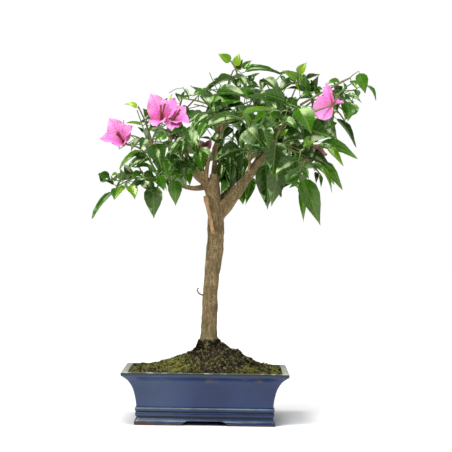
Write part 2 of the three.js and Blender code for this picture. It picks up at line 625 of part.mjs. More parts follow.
// Planes between a mass and its neighbours, as a direction and the furthest offset along it.
function planesOf(name) {
  const own = MASSES[name];
  const centre = vector(own.centre);
  return NAMES.filter((other) => other !== name).map((other) => {
    const apart = vector(MASSES[other].centre).sub(centre);
    const direction = apart.clone().normalize();
    const mine = reachAlong(own, direction);
    const theirs = reachAlong(MASSES[other], direction);
    const share = mine / (mine + theirs);
    return { direction, offset: centre.dot(direction) + apart.length() * share - SPACE_ROOM };
  });
}

function insideSpace(mass, planes, point) {
  const rounded = [0, 1, 2].reduce((sum, i) => {
    return sum + (Math.abs(point.getComponent(i) - mass.centre[i]) / mass.reach[i]) ** 4;
  }, 0);
  return rounded <= 1 && planes.every((plane) => plane.direction.dot(point) <= plane.offset);
}

function insideWindow(point) {
  return FORK_WINDOW.centre.reduce((sum, middle, i) => {
    return sum + ((point.getComponent(i) - middle) / FORK_WINDOW.reach[i]) ** 2;
  }, 0) < 1;
}

// Everything that stays clear of foliage, as short straight stretches with a radius at each end.
function stretches(line) {
  const curve = smooth(line.map(vector));
  const steps = (line.length - 1) * 2;
  const radiusAt = (step) => line[Math.min(line.length - 1, Math.floor(step / 2))][3];
  return Array.from({ length: steps }, (_, i) => {
    return { from: curve.getPoint(i / steps), to: curve.getPoint((i + 1) / steps), radius: radiusAt(i) };
  });
}

function bladeStretches(blade) {
  const { middle, tip, left, right } = bladeCorners(blade);
  const arms = [left, right, blade.foot].map((corner) => ({ from: middle, to: corner, radius: 3 }));
  return [{ from: middle, to: tip, radius: blade.width * 0.25 }, ...arms];
}

const hangingBlade = (leaf) => bladeTo({ facing: TOWARDS_VIEWER, bend: HANGING_BEND, ...leaf });

function obstacleStretches() {
  const found = [];
  found.push(...stretches(TRUNK));
  for (const { path, radius } of [...TRUNK_GROWTHS, ...Object.values(BOUGHS)]) {
    found.push(...stretches(tapering(path, radius)));
  }
  for (const shoot of Object.values(FLOWERING_SHOOTS)) {
    found.push(...stretches(tapering(shoot.path, STALK_RADIUS)));
    for (const flower of shoot.flowers) {
      const foot = vector(flower.at);
      found.push(...flowerBlades(flower).flatMap(bladeStretches));
      found.push({ from: foot, to: vector(flower.spike), radius: 3 });
      if (flower.stalk_from) found.push({ from: vector(flower.stalk_from), to: foot, radius: 1.4 });
    }
  }
  for (const [owner, { hanging }] of Object.entries(MASSES)) {
    const blades = hanging.flatMap((leaf) => bladeStretches(hangingBlade(leaf)));
    found.push(...blades.map((stretch) => ({ ...stretch, owner })));
  }
  return found;
}

const OBSTACLES = obstacleStretches();

function nearStretch(point, { from, to, radius }, room) {
  const along = to.clone().sub(from);
  const offset = point.clone().sub(from);
  const share = Math.min(1, Math.max(0, offset.dot(along) / along.lengthSq()));
  return offset.addScaledVector(along, -share).length() < radius + room;
}

// Points spread over a blade, for testing what it touches.
function bladeSamples(leaf) {
  const { middle, tip, left, right } = bladeCorners(leaf);
  const samples = [];
  for (let step = 1; step <= 9; step++) {
    const share = step / 9;
    const early = share < LEAF_MIDDLE;
    const part = early ? share / LEAF_MIDDLE : (share - LEAF_MIDDLE) / (1 - LEAF_MIDDLE);
    const rib = early ? leaf.foot.clone().lerp(middle, part) : middle.clone().lerp(tip, part);
    samples.push(rib);
    for (const edge of [left, right]) {
      const rim = early ? leaf.foot.clone().lerp(edge, part) : edge.clone().lerp(tip, part);
      samples.push(rim, rib.clone().lerp(rim, 0.5));
    }
  }
  return samples;
}

function bladeTriangles(leaf) {
  const { middle, tip, left, right } = bladeCorners(leaf);
  return [[leaf.foot, left, middle], [left, tip, middle], [tip, right, middle], [right, leaf.foot, middle]];
}

// Whether a straight stretch passes through a triangle.
function pierces(from, to, [a, b, c]) {
  const way = to.clone().sub(from);
  const ab = b.clone().sub(a);
  const ac = c.clone().sub(a);
  const p = way.clone().cross(ac);
  const determinant = ab.dot(p);
  if (Math.abs(determinant) < 1e-9) return false;
  const offset = from.clone().sub(a);
  const u = offset.dot(p) / determinant;
  if (u < 0 || u > 1) return false;
  const q = offset.cross(ab);
  const v = way.dot(q) / determinant;
  if (v < 0 || u + v > 1) return false;
  const share = ac.dot(q) / determinant;
  return share >= 0 && share <= 1;
}

function bladesCross(one, other) {
  if (one.middle.distanceTo(other.middle) > (one.leaf.length + other.leaf.length) * 0.6) return false;
  const through = (a, b) => a.triangles.some(([p, q, r]) => b.triangles.some((triangle) => {
    return pierces(p, q, triangle) || pierces(q, r, triangle);
  }));
  return through(one, other) || through(other, one);
}

// Foliage. A stem runs from the bough's tip to the middle of the mass. Shoots arch from it to their ends,
// leaves stand round each shoot by the golden angle, and short side twigs carry more of them.

function growMass(name) {
  const mass = MASSES[name];
  const random = randomFrom(mass.seed);
  const planes = planesOf(name);
  const centre = vector(mass.centre);
  const twigs = [];
  const stretchesOfTwigs = [];
  const leaves = [];
  const obstacles = OBSTACLES.filter(({ owner }) => owner !== name);
  const free = (point) => {
    return insideSpace(mass, planes, point) && !insideWindow(point)
      && !obstacles.some((stretch) => nearStretch(point, stretch, LIMB_ROOM));
  };

  function keepTwig(points, radii, start, size) {
    twigs.push({ points, radii, start, size });
    for (let i = 0; i + 1 < points.length; i++) {
      stretchesOfTwigs.push({ from: points[i], to: points[i + 1], radius: radii[0] });
    }
  }

  // A twig is kept if all of it past its foot is free. It is shortened until its end lies in the space.
  function addTwig(from, to, lift, radii, steps, start, size) {
    let end = to;
    for (let cut = 0; cut < 8 && !free(end); cut++) end = end.clone().lerp(from, TWIG_CUT);
    const pull = from.clone().lerp(end, 0.5).add(new THREE.Vector3(0, 0, lift * end.distanceTo(from)));
    const curve = new THREE.QuadraticBezierCurve3(from, pull, end);
    if (end.distanceTo(from) < SHORTEST_TWIG) return null;
    if (!curve.getPoints(12).slice(2).every(free)) return null;
    const points = curve.getPoints(steps);
    keepTwig(points, radii, start, size);
    return points;
  }

  // Keeps a leaf if it fits, after trying a few turns about its twig.
  function tryLeaf(makeLeaf) {
    for (let attempt = 0; attempt < LEAF_ATTEMPTS; attempt++) {
      const leaf = makeLeaf(attempt);
      const samples = bladeSamples(leaf);
      if (!samples.every(free)) continue;
      const outer = samples.filter((point) => point.distanceTo(leaf.foot) > TWIG_SHADOW);
      const onTwig = (point) => stretchesOfTwigs.some((stretch) => nearStretch(point, stretch, TWIG_ROOM));
      if (outer.some(onTwig)) continue;
      const found = { leaf, middle: bladeCorners(leaf).middle, triangles: bladeTriangles(leaf) };
      if (leaves.some((other) => bladesCross(found, other))) continue;
      leaves.push(found);
      return;
    }
  }

  // A leaf at a point on a twig: it leaves the twig sideways, droops and looks out of the crown.
  function leafOnTwig(foot, along, turn, length, young) {
    const bend = between(...LEAF_BEND, random()) * (1 - 0.4 * young);
    const lean = between(...LEAF_LEAN, random()) + young;
    const width = length * LEAF_SLENDERNESS * between(...LEAF_VARIETY, random());
    const stray = new THREE.Vector3(random() - 0.5, random() - 0.5, random() - 0.5);
    const facing = foot.clone().sub(CROWN_CENTRE).normalize().add(new THREE.Vector3(0, 0, FACING_UP))
      .addScaledVector(stray, FACING_STRAY);
    tryLeaf((attempt) => {
      const [first, second] = squareTo(along);
      const angle = turn + attempt * ATTEMPT_TURN;
      const ahead = first.multiplyScalar(Math.cos(angle)).addScaledVector(second, Math.sin(angle))
        .addScaledVector(along, lean).add(new THREE.Vector3(0, 0, LEAF_DROOP * (young - 1))).normalize();
      return { foot, ahead, normal: squared(facing, ahead), length, width, bend };
    });
  }

  // Leaves stand at even spaces along a twig, smaller towards its end.
  function leavesAlong({ points, start, size }) {
    const turn = 2 * Math.PI * random();
    let travelled = 0;
    let due = start;
    let count = 0;
    const total = points.slice(1).reduce((sum, p, i) => sum + p.distanceTo(points[i]), 0);
    for (let i = 0; i + 1 < points.length; i++) {
      const piece = points[i + 1].distanceTo(points[i]);
      const along = points[i + 1].clone().sub(points[i]).normalize();
      while (due <= travelled + piece && due < total) {
        const foot = points[i].clone().lerp(points[i + 1], (due - travelled) / piece);
        const share = due / total;
        const length = size * between(...LEAF_VARIETY, random()) * (1 - LEAF_SHRINK * share * share);
        leafOnTwig(foot, along, turn + count * GOLDEN_ANGLE, length, share > YOUNG_END ? YOUNG : 0);
        count += 1;
        due += LEAF_SPACING;
      }
      travelled += piece;
    }
    const end = points[points.length - 1];
    const along = end.clone().sub(points[points.length - 2]).normalize();
    const foot = end.clone().addScaledVector(along, -1);
    leafOnTwig(foot, along, turn + count * GOLDEN_ANGLE, size * END_LEAF_SIZE, 1);
  }

  for (const leaf of mass.hanging.map(hangingBlade)) {
    leaves.push({ leaf, middle: bladeCorners(leaf).middle, triangles: bladeTriangles(leaf) });
  }

  const [before, root] = BOUGHS[mass.bough].path.slice(-2).map(vector);
  const heart = centre.clone().lerp(root, 0.3);
  const onward = root.clone().sub(before).normalize();
  const pull = root.clone().addScaledVector(onward, heart.distanceTo(root) * 0.5);
  const stemCurve = new THREE.QuadraticBezierCurve3(root, pull, heart);
  keepTwig(stemCurve.getPoints(3), STEM_RADIUS, STEM_START, mass.leaf);

  for (let k = 0; k < mass.shoots; k++) {
    const height = 1 - (2 * (k + 0.5)) / mass.shoots;
    const turn = k * GOLDEN_ANGLE + mass.seed;
    const flat = Math.sqrt(1 - height * height);
    const spread = between(...SHOOT_SPREAD, random());
    const [x, y, z] = mass.reach;
    const byRule = centre.clone().add(new THREE.Vector3(
      x * flat * Math.cos(turn), y * flat * Math.sin(turn), z * (0.6 * height + 0.1),
    ).multiplyScalar(spread));
    const end = k < mass.leaders.length ? vector(mass.leaders[k]) : byRule;
    const from = stemCurve.getPoint(between(...SHOOT_FEET, k / (mass.shoots - 1)));
    const points = addTwig(from, end, SHOOT_LIFT, SHOOT_RADIUS, 2, SHOOT_START, mass.leaf);
    if (points && k % 2) {
      const along = end.clone().sub(from).normalize();
      const [first, second] = squareTo(along);
      const angle = 2 * Math.PI * random();
      const reach = SIDE_TWIG_LENGTH * between(0.8, 1.25, random());
      const way = first.multiplyScalar(Math.cos(angle)).addScaledVector(second, Math.sin(angle))
        .addScaledVector(along, 0.8).normalize();
      const tip = points[1].clone().addScaledVector(way, reach);
      const leafSize = mass.leaf * SIDE_LEAF_SIZE;
      addTwig(points[1], tip, SIDE_TWIG_LIFT, SIDE_TWIG_RADIUS, 1, SIDE_TWIG_START, leafSize);
    }
  }
  twigs.forEach(leavesAlong);
  return { twigs, leaves: leaves.map((found) => found.leaf), hanging: mass.hanging };
}

// A short stalk from a hanging leaf's foot to the nearest twig, so that it hangs from something.
function stalkFor(foot, twigs) {
  const start = vector(foot);
  let best = null;
  for (const { points } of twigs) {
    for (const point of points.slice(1)) {
      if (!best || point.distanceTo(start) < best.distanceTo(start)) best = point;
    }
  }
  return { points: [best, start], radii: SIDE_TWIG_RADIUS };
}

function massSolid(name, blockers) {
  const { twigs, leaves, hanging } = growMass(name);
  const stalks = hanging.map(({ foot }) => stalkFor(foot, twigs));
  const pieces = [...twigs, ...stalks].map(({ points, radii }) => {
    const last = points.length - 1;
    const line = points.map((p, i) => [p.x, p.y, p.z, between(radii[0], radii[1], i / last)]);
    if (radii !== STEM_RADIUS) line[0][3] *= 0.5;
    return tube(line, 3, last);
  });
  pieces.push(...leaves.map(bladeSolid));
  return mainBody(join(pieces).subtract(blockers));
}

// The whole, one mesh for each piece.

const bonsai = new THREE.Group();

function addPiece(name, solid, finish) {
  const mesh = new THREE.Mesh(geometryOf(solid), new THREE.MeshStandardMaterial(FINISHES[finish]));
  mesh.name = name;
  bonsai.add(mesh);
}

const TOUCH = CLEAR + 0.05;
const fat = { trunk: trunkSolid(TOUCH) };

addPiece("pot", potSolid(), "pot");
addPiece("soil", soilSolid(fat.trunk), "soil");
addPiece("trunk", trunkSolid(), "bark");

for (const [name, bough] of Object.entries(BOUGHS)) {
  const grownBefore = join(Object.values(fat));
  addPiece(name, mainBody(limbTube(bough).subtract(grownBefore)), name === "cut_stub" ? "cut_wood" : "bark");
  fat[name] = limbTube(bough, TOUCH);
}

const allLimbs = join(Object.values(fat));
const shootSolids = [];
for (const [name, shoot] of Object.entries(FLOWERING_SHOOTS)) {
  const solid = mainBody(floweringShootSolid(shoot).subtract(allLimbs));
  addPiece(name, solid, "bract");
  shootSolids.push(solid);
}

for (const name of NAMES) addPiece(name, massSolid(name, allLimbs), "leaf");

const box = new THREE.Box3().setFromObject(bonsai, true);
const middle = box.getCenter(new THREE.Vector3());
bonsai.position.set(-middle.x, -middle.y, 0);

export default bonsai;
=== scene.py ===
# A flowering bougainvillea grown as a bonsai in a glazed rectangular pot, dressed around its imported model.
# Lengths are in millimetres about the middle of the pot's underside, and metres() turns them into the
# frame's metres. The camera looks along +Y. Twigs and leaves grow by the rule of the solids, which is
# written again here and then carried on to finer twigs.
import math
from dataclasses import dataclass

import bpy
import numpy as np
from mathutils import Matrix, Vector, noise


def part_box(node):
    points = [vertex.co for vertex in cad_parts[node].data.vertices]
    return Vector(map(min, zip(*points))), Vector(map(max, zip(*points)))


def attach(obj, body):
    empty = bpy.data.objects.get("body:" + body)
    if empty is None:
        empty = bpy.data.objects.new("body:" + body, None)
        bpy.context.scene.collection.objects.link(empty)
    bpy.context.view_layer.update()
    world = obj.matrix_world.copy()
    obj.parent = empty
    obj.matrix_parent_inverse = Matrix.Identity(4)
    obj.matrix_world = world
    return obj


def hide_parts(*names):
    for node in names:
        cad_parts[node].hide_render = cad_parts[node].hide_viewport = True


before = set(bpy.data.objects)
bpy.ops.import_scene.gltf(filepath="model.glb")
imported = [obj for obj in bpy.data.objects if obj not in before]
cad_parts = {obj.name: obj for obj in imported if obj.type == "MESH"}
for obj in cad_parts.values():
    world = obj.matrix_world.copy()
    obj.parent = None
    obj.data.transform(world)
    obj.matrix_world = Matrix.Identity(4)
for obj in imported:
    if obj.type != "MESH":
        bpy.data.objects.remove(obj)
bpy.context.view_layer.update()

MM = 0.001
POT_LOW, POT_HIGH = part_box("pot")
POT_MIDDLE = np.array([(POT_LOW.x + POT_HIGH.x) / 2, (POT_LOW.y + POT_HIGH.y) / 2, 0])
POT_WIDTH, POT_DEPTH = (round(side / MM, 2) for side in (POT_HIGH - POT_LOW)[:2])
GOLDEN_ANGLE = math.pi * (3 - math.sqrt(5))
FULL_TURN = 2 * math.pi

# The plan of the plant.

# The trunk's centre line as x, y, z and radius, from under the soil to its sawn top.
TRUNK = [[3.4, 0, 94, 17], [3.5, 0, 104, 14.2], [3.7, 0, 113, 11.8], [4.3, 0, 138, 10.6],
         [5.4, 0, 186, 10.6], [9, 0, 219, 11], [11, 0, 260, 11.4], [9, 0, 292, 9.6], [7.4, 0, 331.5, 5.8]]

# Growths on the trunk: the gnarled knuckle on its left and a dried, curled twig.
TRUNK_GROWTHS = [
    dict(path=[[7, 0, 298], [1, 0, 311], [-9, 1, 334]], radius=[8.6, 4.8]),
    dict(path=[[-1, -3, 168], [-9, -4, 170], [-13, -4, 175], [-11, -4, 178.5]], radius=[1.3, 0.9]),
]

# Boughs: each one's line from inside its parent to its tip, with its radius at both ends.
BOUGHS = {
    "right": dict(path=[[11, 0, 272], [50, -4, 324], [92.6, -8, 387]], radius=[10.4, 4.8]),
    "left": dict(path=[[1, 0, 316], [-23.3, -5, 312.2], [-67.8, -14, 325]], radius=[5.2, 2.6]),
    "left_rising": dict(path=[[-50, -11, 319.5], [-58, -12, 336], [-68, -8, 356]], radius=[2.8, 2.2]),
    "upper_left": dict(path=[[-6, 0, 324], [-25, 5, 347], [-36, 8, 374], [-44, 7, 388]], radius=[5, 2.4]),
    "upright": dict(path=[[-3, -4, 318], [-1, -5, 345], [8.2, -1, 369], [17, 2, 422]], radius=[3.4, 2]),
    "far_right": dict(path=[[86, -7, 376], [104, -9, 402], [137, -13, 430]], radius=[4.2, 2.5]),
    "low_right": dict(path=[[74, -6, 355], [92, -10, 362], [112, -14, 364]], radius=[4.2, 2.7]),
    "front_right": dict(path=[[60, -5, 337], [68, -24, 350], [80, -48, 362]], radius=[4.2, 2.8]),
    "front_left": dict(path=[[-4, -2, 318], [-18, -20, 329], [-38, -54, 358]], radius=[4.4, 2.4]),
    "front_top": dict(path=[[6, -2, 364], [12, -16, 378], [20, -34, 390]], radius=[2.4, 2.1]),
    "back_left": dict(path=[[0, 3, 318], [-14, 26, 335], [-37, 58, 368]], radius=[5, 2.7]),
    "back_right": dict(path=[[12, 2, 284], [32, 34, 320], [58, 60, 356]], radius=[6.5, 3]),
    "back_top": dict(path=[[6, 2, 318], [9, 24, 354], [18, 48, 402]], radius=[4.4, 2.5]),
    "heart": dict(path=[[26, 24, 311], [29, 30, 321], [31, 34, 332]], radius=[3.6, 2.4]),
}

# Cut and dead wood on the trunk and on the right bough.
CUT_WOOD = {
    "cut_stub": dict(path=[[7.4, -8, 253], [6.5, -14, 258], [-4, -21, 301.3]], radius=[3.4, 2.6]),
    "dead_spur": dict(path=[[54, -6, 332], [54.2, -12, 344], [56.5, -14, 363.8]], radius=[2.2, 1]),
}

# Flowering shoots: a stalk and its flowers, each with its place, how far its tube flowers reach, and its
# three bracts as their tip, width and the way they face.
FLOWERING_SHOOTS = {
    "left": dict(
        path=[[-64, -13, 324], [-88.6, -23, 361], [-111.3, -25, 368.9]],
        flowers=[dict(at=[-111.3, -25, 368.9], spike=[-124, -46, 388], bracts=[
            [[-132, -34, 402.7], 30, [0.2, -1, -0.2]], [[-143.1, -44, 376.4], 25, [-0.1, -0.8, 0.6]],
            [[-102.6, -50, 392.2], 24, [-1, -0.4, 0.1]],
        ])]),
    "upper_left": dict(
        path=[[-60, -11, 340], [-75.1, -20, 371], [-63.5, -22, 400.7]],
        flowers=[dict(at=[-63.5, -22, 400.7], spike=[-61, -40, 424], bracts=[
            [[-77.1, -27, 436.8], 30, [0.3, -1, 0]], [[-46, -6, 433], 27, [-0.3, -1, 0.3]],
            [[-69, -53, 393], 27, [0, 0.6, 0.8]],
        ]), dict(at=[-48.3, -22, 400.9], spike=[-38.5, -43, 413], stalk_from=[-69.5, -21.5, 388], bracts=[
            [[-31.6, -20, 421], 22, [-0.3, -1, 0.2]], [[-26.5, -42, 400.3], 23, [-0.2, -0.6, 0.8]],
            [[-49, -46, 388], 24, [0.2, -0.8, 0.6]],
        ])]),
    "right": dict(
        path=[[99, -9, 395], [112, -52, 404], [131, -92, 409], [160.6, -84, 420.5]],
        flowers=[dict(at=[160.6, -84, 420.5], spike=[168, -82, 434], bracts=[
            [[134.5, -76, 409.5], 32, [0, -1, 0.2]], [[151.7, -75, 450.3], 13, [-0.5, -1, 0]],
            [[176.6, -66, 426.5], 9, [0.2, -0.5, 0.8]],
        ])]),
    "low_right": dict(
        path=[[104, -12, 363.5], [122, -2, 372], [141, 2, 361]],
        flowers=[dict(at=[141, 2, 361], spike=[151, -4, 365], bracts=[
            [[154, -2, 374], 13, [0, -1, 0]], [[160, 4, 360], 13, [0, -1, 0.5]],
            [[148, -12, 352], 13, [0.3, -0.8, 0.4]],
        ])]),
    "inner": dict(
        path=[[0, -4, 350], [-5, 2, 357], [-6, 6, 363]],
        flowers=[dict(at=[-6, 6, 363], spike=[-4, 0, 372], bracts=[
            [[3, 2, 378], 11, [0, -1, 0]], [[-13, 0, 377], 11, [0.4, -1, 0]],
            [[-3, -9, 368], 11, [0, -0.6, 0.8]],
        ])]),
}

# Masses of foliage: the space that each fills about its centre, the ends of its outermost shoots as
# leaders, and the large leaves that hang from its edge, as their tint, foot, tip and width. Where such a
# leaf is turned, the way it faces and its bend follow.
MASSES = {
    "left_low": dict(
        bough="left", centre=[-100, -18, 326], reach=[62, 46, 44], leaf=34, seed=11, shoots=5,
        leaders=[[-141, -20, 318], [-122, -26, 312], [-86, -36, 322], [-100, -8, 348]],
        hanging=[
            [1, [-122, -21, 308], [-151.5, -20, 267.5], 9, [-0.6, -0.6, 0.5], 0.6],
            [0, [-73, -33, 318], [-71.2, -30, 271], 25], [1, [-100, -32, 319], [-97, -25, 296], 11],
            [1, [-122, -24, 312], [-124.9, -25, 294.3], 12], [1, [-66, -32, 330], [-58, -34, 307], 16],
            [2, [-138, -20, 318], [-146, -24, 331], 9], [1, [-118, -20, 320], [-111, -26, 333], 12],
        ]),
    "left": dict(
        bough="left_rising", centre=[-92, 6, 386], reach=[56, 52, 62], leaf=40, seed=22, shoots=6,
        leaders=[[-95, -15, 420], [-116, 6, 384], [-88, 30, 402], [-66, -30, 378]],
        hanging=[[4, [-94.7, -15, 417], [-113.9, -15, 422.6], 10, [0, -0.7, 0.7], 0.9]]),
    "upper_left": dict(
        bough="upper_left", centre=[-38, 0, 408], reach=[48, 46, 46], leaf=36, seed=33, shoots=5,
        leaders=[[-37, -4, 431], [-14, -10, 438], [-58, 18, 424], [-34, -30, 402], [-10, -20, 400]]),
    "top": dict(
        bough="upright", centre=[28, -4, 452], reach=[62, 46, 50], leaf=36, seed=46, shoots=6,
        leaders=[[31, -5, 470], [4, -4, 444], [53, -13, 466], [22, -32, 446], [14, 24, 452]],
        hanging=[
            [3, [29, -5, 481], [9.9, -5, 492.9], 13], [4, [34, -9, 474], [38.7, -6, 493.3], 12],
            [1, [42, -5, 472], [56.2, -3, 484.9], 9],
            [1, [42, -14, 466], [95, -20, 462.7], 12, [0, -0.65, 0.75], 1],
        ]),
    "top_right": dict(
        bough="right", centre=[108, -4, 432], reach=[56, 50, 54], leaf=42, seed=55, shoots=6,
        leaders=[[121, -10, 460], [88, -12, 456], [140, 6, 454], [100, -36, 424], [104, 32, 440]],
        hanging=[[4, [117, -10, 465], [129.8, -10, 482.7], 12], [3, [119, -11, 458], [96, -14, 471], 12]]),
    "right": dict(
        bough="far_right", centre=[176, -8, 420], reach=[52, 50, 60], leaf=38, seed=66, shoots=7,
        leaders=[
            [187, -15, 462], [194, -8, 446], [190, 4, 412], [168, 28, 432], [162, -34, 396],
            [152, -20, 388],
        ],
        hanging=[
            [1, [199, -15, 471], [208, -15, 441], 17],
            [1, [208, -8, 454], [222.8, -10, 433], 6, [0.6, -0.6, 0.5], 0.9],
            [0, [166, -10, 411], [195.5, -10, 368.6], 10, [0.6, -0.6, 0.5], 0.55],
        ]),
    "right_low": dict(
        bough="low_right", centre=[140, -10, 340], reach=[62, 54, 60], leaf=50, seed=77, shoots=7,
        leaders=[
            [138, -20, 371], [156, -10, 342], [120, -30, 334], [164, 12, 358], [126, 24, 336],
            [150, -30, 330],
        ],
        hanging=[
            [1, [122, -31, 332], [149.2, -30, 264.9], 27], [3, [124, -26, 318], [127.5, -22, 268.5], 11],
            [1, [140, -20, 370], [195.1, -20, 353.5], 20, [0.1, -0.8, 0.6], 1],
            [1, [134, -18, 349], [176, -20, 313.2], 20, [0.4, -0.8, 0.5], 1],
        ]),
    "front_right": dict(
        bough="front_right", centre=[92, -76, 372], reach=[60, 50, 70], leaf=54, seed=88, shoots=7,
        leaders=[[84, -56, 350], [126, -84, 376], [62, -90, 372], [100, -104, 400], [132, -70, 350]],
        hanging=[
            [0, [75, -52, 350], [79, -46, 285], 30], [0, [96, -56, 352], [84.1, -50, 289], 28],
            [2, [116, -82, 392], [160, -84, 378], 34, [0, -1, 0.25]],
        ]),
    "front_left": dict(
        bough="front_left", centre=[-50, -74, 366], reach=[56, 50, 60], leaf=50, seed=103, shoots=6,
        leaders=[[-46, -52, 328], [-84, -74, 366], [-30, -100, 376], [-60, -92, 388]],
        hanging=[[1, [-44, -50, 325], [-42.2, -48, 287.4], 19]]),
    "front_top": dict(
        bough="front_top", centre=[32, -70, 406], reach=[66, 52, 54], leaf=50, seed=110, shoots=6,
        leaders=[[-12, -64, 408], [66, -58, 420], [22, -104, 404], [24, -56, 434], [60, -84, 398]]),
    "heart": dict(
        bough="heart", centre=[26, 42, 350], reach=[50, 34, 56], leaf=46, seed=115, shoots=5,
        leaders=[[20, 28, 342], [46, 26, 366], [0, 34, 356], [32, 30, 384], [34, 28, 330]],
        hanging=[
            [1, [44, 28, 314], [47.2, 26, 291], 14], [0, [24, 28, 350], [19, 26, 311], 18],
            [0, [36, 24, 352], [43, 22, 324], 15],
        ]),
    "back_left": dict(
        bough="back_left", centre=[-56, 80, 374], reach=[66, 56, 70], leaf=52, seed=121, shoots=6,
        leaders=[[-104, 70, 372], [-52, 122, 378], [-70, 86, 424], [-36, 60, 334], [-14, 56, 362]],
        hanging=[[0, [-10, 52, 366], [-12, 48, 332], 20]]),
    "back_right": dict(
        bough="back_right", centre=[96, 86, 366], reach=[70, 52, 76], leaf=54, seed=132, shoots=6,
        leaders=[[150, 74, 376], [100, 126, 368], [50, 76, 330], [120, 96, 420], [84, 70, 312]]),
    "back_top": dict(
        bough="back_top", centre=[26, 78, 424], reach=[64, 54, 56], leaf=48, seed=143, shoots=6,
        leaders=[[-22, 76, 430], [74, 78, 440], [24, 120, 420], [28, 68, 464]]),
}

# How the photograph's 452 by 452 points lie in the plane through the trunk.
PHOTO_MIDDLE = 226
PHOTO_SCALE = 1.3437
PHOTO_TURN = 0.014

